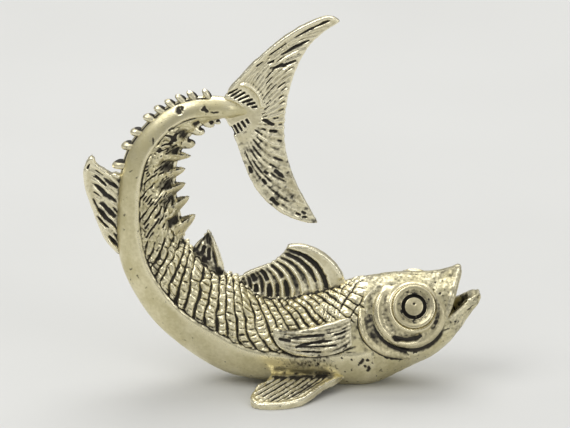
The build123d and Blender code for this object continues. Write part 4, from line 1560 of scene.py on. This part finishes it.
@dataclass
class Fish:
    """The whole fish: its single castings, and the right ones of the mirrored pairs."""

    eye: EyeAxis
    singles: list[Casting] = field(default_factory=list)
    pairs: list[Casting] = field(default_factory=list)

    def plan_back(self) -> None:
        """List the head and the fins of the back and the belly."""
        self.singles += [
            Head("head", Slot.BODY, voxel=0.10, passes=5, seed=11, eye=self.eye),
            Fin(
                "first_dorsal_fin", Slot.FIN, voxel=0.075, seed=21,
                root=((4.90, 9.70), (2.30, 8.95), (-0.60, 8.65), (-2.60, 9.20), (-4.10, 10.30)),
                edge=((0.30, 14.20), (-0.70, 13.15), (-1.90, 12.15), (-3.20, 11.60), (-4.40, 10.90)),
                bow=(-1.15, -0.85, -0.55, -0.30, -0.10), rays=11, gap_width=0.54, gap_depth=0.20,
                gap_stain=0.88, groove_stain=0.50, ridge_height=0.08, broken=0.35, cover=1.0,
                rims=(((6.00, 10.90), (5.20, 12.10), (3.80, 13.25), (1.50, 14.15), (0.40, 14.00)),),
                rim_width=1.10, rim_height=0.13, thinning=0.35,
            ),
            Fin(
                "second_dorsal_fin", Slot.FIN, voxel=0.065, seed=31,
                root=((-6.20, 11.60), (-7.20, 12.40), (-8.20, 13.40), (-9.00, 14.10)),
                edge=((-7.30, 15.80), (-7.45, 15.90), (-7.60, 15.80), (-8.10, 15.25)),
                bow=(0.10, 0.05, 0.00, -0.05), rays=4, gap_width=0.42, gap_depth=0.18, gap_stain=0.9,
                groove_stain=0.55, broken=0.4, cover=0.95, root_shade=0.8,
                rims=(((-5.95, 11.60), (-6.40, 13.20), (-7.40, 15.85)),), rim_width=0.60, thinning=0.45,
            ),
            Fin(
                "anal_fin", Slot.FIN, voxel=0.075, seed=41,
                root=((-16.40, 13.70), (-16.35, 15.60), (-16.30, 17.60), (-16.25, 19.60), (-16.20, 21.30)),
                edge=((-17.50, 14.90), (-18.50, 17.90), (-19.10, 20.20), (-19.40, 22.20), (-19.20, 23.60)),
                bow=(-0.05, -0.15, -0.20, -0.25, -0.30), rays=9, gap_width=0.22, gap_depth=0.08,
                gap_stain=0.5, groove_stain=0.25, broken=0.6, cover=0.6, root_shade=0.7,
                streaks=(
                    (0.46, ((-18.80, 20.95), (-17.70, 19.80), (-16.60, 19.05))),
                    (0.52, ((-18.25, 19.20), (-17.60, 18.35), (-16.50, 17.35))),
                    (0.46, ((-18.50, 18.60), (-17.60, 17.25), (-16.60, 16.40))),
                    (0.34, ((-17.45, 15.50), (-16.60, 14.50))),
                    (0.28, ((-18.90, 22.05), (-18.25, 21.35), (-17.60, 20.65))),
                    (0.30, ((-18.00, 21.65), (-17.05, 20.85), (-16.50, 20.50))),
                    (0.18, ((-19.05, 19.50), (-18.50, 18.35), (-17.70, 16.95))),
                    (0.20, ((-18.65, 17.65), (-17.60, 16.25))),
                    (0.20, ((-19.60, 22.50), (-19.30, 23.10))),
                ),
                rims=(
                    ((-16.10, 13.50), (-17.55, 15.00), (-18.90, 18.30), (-19.70, 22.10), (-19.10, 23.80)),
                    ((-19.05, 23.80), (-18.40, 22.60), (-17.20, 21.95), (-16.20, 21.80)),
                ),
                rim_width=0.60, rim_height=0.12,
            ),
        ]

    def plan_tail(self) -> None:
        """List the tail fin and the two rows of finlets."""
        self.singles += [
            Fin(
                "tail_fin", Slot.FIN, voxel=0.085, seed=51,
                root=(
                    (-4.20, 31.70), (-3.10, 31.30), (-2.40, 30.20), (-2.10, 29.00),
                    (-2.30, 27.90), (-2.80, 26.90), (-3.40, 25.80), (-4.00, 24.60),
                ),
                edge=(
                    (5.00, 38.20), (3.00, 36.30), (1.40, 33.90), (0.60, 31.60),
                    (0.25, 28.80), (0.15, 25.80), (0.75, 22.00), (2.90, 17.40),
                ),
                bow=(1.05, 0.85, 0.40, 0.10, -0.05, -0.25, -0.70, -1.15), rays=24, gap_width=0.30,
                gap_depth=0.07, gap_stain=0.12, groove_stain=0.10, ridge_height=0.08,
                broken=0.8, cover=0.5,
                rims=(
                    (
                        (-5.60, 30.90), (-4.20, 33.00), (-2.00, 35.10),
                        (1.90, 37.95), (4.40, 38.60), (5.50, 38.10),
                    ),
                    ((3.30, 17.00), (1.20, 17.40), (-2.40, 20.30), (-4.20, 24.50), (-5.00, 26.60)),
                    (
                        (5.50, 38.00), (2.05, 34.70), (0.45, 29.70),
                        (0.30, 24.50), (1.65, 20.30), (3.30, 17.00),
                    ),
                ),
                arcs=(((-4.55, 31.75), (-3.60, 31.50), (-2.70, 30.80), (-2.25, 29.95), (-2.10, 29.00)),),
                rim_width=0.42, rim_height=0.09, slits=self.tail_slits(), thinning=0.35,
                # painted shade on the lower lobe, below 23 to 29 mm
                shade=0.25, shade_heights=(23.0, 29.0), pull=(0.26, -0.40),
                streaks=(
                    (0.34, ((0.80, 36.60), (3.10, 37.90), (4.70, 38.40))),
                    (0.24, ((-1.65, 34.85), (0.25, 36.20))),
                    (0.24, ((-2.90, 33.65), (-2.10, 34.25))),
                    (0.30, ((-0.30, 34.55), (1.35, 35.50), (2.70, 36.20))),
                    (0.34, ((-1.40, 33.10), (0.00, 33.50), (1.35, 34.00))),
                    (0.30, ((-1.65, 33.75), (-0.85, 34.10))),
                    (0.40, ((-2.10, 27.85), (-0.85, 27.15))),
                    (0.30, ((-1.40, 26.65), (-0.55, 26.45))),
                    (0.34, ((-0.90, 22.45), (0.10, 21.60))),
                    (0.28, ((-1.95, 22.35), (-1.45, 22.00))),
                    (0.28, ((-2.10, 21.50), (-1.65, 20.90))),
                    (0.30, ((-3.40, 22.90), (-3.10, 22.10))),
                    (0.34, ((-1.30, 19.50), (-0.45, 18.65))),
                    (0.20, ((1.25, 17.85), (1.80, 17.60))),
                    (0.20, ((1.80, 18.00), (2.35, 17.75))),
                    (0.18, ((1.85, 17.45), (2.45, 17.40))),
                ),
            ),
            FinletComb(
                "dorsal_finlet_comb", Slot.FIN, voxel=0.06, passes=2, seed=61, lean=0.42,
                finlets=(
                    (8.50, 1.60, 1.75), (9.52, 1.30, 1.45), (10.43, 1.05, 1.35), (11.35, 0.95, 1.30),
                    (12.42, 1.10, 1.25), (13.44, 0.95, 1.25), (14.47, 0.85, 1.20), (15.30, 0.75, 1.05),
                    (15.88, 0.65, 0.95),
                ),
            ),
            FinletComb(
                "ventral_finlet_comb", Slot.FIN, voxel=0.06, passes=2, seed=71, on_back=False, lean=-0.15,
                foot_depth=0.45, rail_ends=(11.5, 16.2), rail_radius=0.22,
                finlets=(
                    (11.69, 1.10, 1.10), (12.46, 0.85, 1.15), (13.10, 0.82, 1.12), (13.76, 0.80, 1.05),
                    (14.22, 0.78, 1.00), (14.65, 0.76, 0.96), (15.08, 0.80, 0.96), (15.54, 0.90, 1.00),
                    (16.10, 0.88, 0.90),
                ),
            ),
        ]

    def plan_sides(self) -> None:
        """List the trunk half, the face and the paired fins of the right side."""
        self.pairs += [
            Trunk("trunk_right", Slot.BODY, seed=5),
            CheekPlate("cheek_plate_right", Slot.FACE, voxel=0.07, passes=3, seed=81, eye=self.eye),
            GillCover("gill_cover_right", Slot.FACE, voxel=0.06, passes=3, seed=91, eye=self.eye),
            EyeBoss("eye_right", Slot.FACE, voxel=0.06, seed=101, eye=self.eye),
            PupilButton("pupil_right", Slot.FACE, voxel=0.05, seed=111, eye=self.eye),
            Fin(
                "pectoral_fin_right", Slot.FIN, voxel=0.065, passes=3, seed=121,
                root=((6.70, 7.60), (6.75, 6.90), (6.80, 6.20), (6.85, 5.20)),
                edge=((-0.95, 6.75), (-0.85, 6.30), (-0.60, 5.60), (-0.20, 5.00)),
                bow=(0.45, 0.55, 0.75, 0.95), rays=6, gap_width=0.22, gap_depth=0.05, groove_stain=0.10,
                ridge_height=0.04, gap_stain=0.20, broken=0.5, cover=0.6, thinning=0.0, shade=0.27,
                root_tuck=(5.4, 6.9),
                streaks=(
                    (0.30, ((1.20, 4.98), (2.85, 5.47), (4.90, 5.75))),
                    (0.22, ((1.80, 4.54), (3.85, 4.49))),
                    (0.24, ((-0.50, 5.84), (0.80, 5.60))),
                    (0.18, ((1.40, 5.00), (3.65, 5.09), (5.40, 5.24))),
                    (0.24, ((0.90, 5.95), (2.60, 6.10), (4.20, 6.30))),
                    (0.22, ((5.05, 6.30), (6.30, 6.60))),
                ),
                rims=(((6.80, 7.65), (4.20, 7.10), (1.50, 6.42), (-0.90, 6.70)),), rim_width=0.5,
                rim_height=0.12,
            ),
            Fin(
                "pelvic_fin_right", Slot.FIN, voxel=0.075, seed=131, view=View.PLAN,
                root=((4.60, -3.40), (3.60, -3.50), (2.20, -3.60), (0.70, -3.65), (-0.80, -3.70)),
                edge=((1.00, -7.60), (-0.40, -8.15), (-1.80, -8.20), (-2.70, -7.40), (-2.90, -5.90)),
                bow=(0.15, 0.10, 0.05, 0.00, 0.00), rays=8, gap_width=0.34, gap_depth=0.15, gap_stain=0.55,
                groove_stain=0.2, ridge_height=0.12, broken=0.5, cover=0.85, root_shade=0.95,
                root_sink=(5.0, 6.4),
                rims=(
                    (
                        (6.60, -2.40), (4.20, -4.70), (2.80, -6.45),
                        (1.60, -7.70), (-0.30, -8.40), (-2.50, -8.40),
                    ),
                    ((-2.60, -8.30), (-3.05, -7.30), (-2.70, -5.80), (-1.90, -4.50)),
                ),
                rim_width=0.5, rim_height=0.12,
            ),
        ]

    @staticmethod
    def tail_slits() -> list[Path]:
        """Slanted slits before the tail's arc ridge and on its lower root."""
        upper = SmoothLine(((-5.15, 30.90), (-4.35, 30.35), (-3.55, 29.75), (-2.85, 29.10)))
        upper_reach = SmoothLine(((0.55, 0.38), (0.62, 0.36), (0.58, 0.20), (0.34, 0.07)))
        lower = SmoothLine(((-5.00, 26.60), (-4.30, 27.00), (-3.55, 27.60)))
        lower_reach = SmoothLine(((0.24, -0.48), (0.26, -0.46), (0.18, -0.26)))
        slits = []
        for middle, reach, count in ((upper, upper_reach, 7), (lower, lower_reach, 5)):
            slits += [(a - b, a + b) for a, b in zip(middle.spread(count), reach.spread(count))]
        return slits

    def build(self, solids: dict[str, bpy.types.Object]) -> None:
        """Make and dress every casting.

        Args:
            solids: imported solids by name.
        """
        metals = {slot: finish.material() for slot, finish in FINISHES.items()}
        for casting in self.singles:
            casting.dress(casting.build(solids), casting.node, metals[casting.slot])
        for casting in self.pairs:
            right = casting.build(solids)
            left_node = casting.node.replace("right", "left")
            left = casting.mirrored(right, left_node)
            casting.dress(right, casting.node, metals[casting.slot])
            casting.dress(left, left_node, metals[casting.slot])


def eye_axis(tilt: float = 24.0, seat: float = 1.06, height: float = 0.45) -> EyeAxis:
    """Axis of the right eye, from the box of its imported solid.

    Args:
        tilt: angle of the axis above the horizontal, in degrees.
        seat: depth of the eye below the skin, in millimetres.
        height: height of the eye above the skin, in millimetres.
    Returns:
        The axis, with its origin on the skin.
    """
    low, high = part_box("eye_right")
    middle = np.array((low + high) / 2) / MM
    angle = math.radians(tilt)
    outward = np.array((0, -math.cos(angle), math.sin(angle)))
    return EyeAxis(middle + outward * (seat - height) / 2, angle)


def main() -> None:
    """Build the stage and the fish, and note the size of the result."""
    logging.basicConfig(level=logging.INFO, format="%(message)s")
    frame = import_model()
    Stage().build()
    fish = Fish(eye_axis())
    fish.plan_back()
    fish.plan_tail()
    fish.plan_sides()
    fish.build(frame["nodes"])


if __name__ == "__main__":
    main()
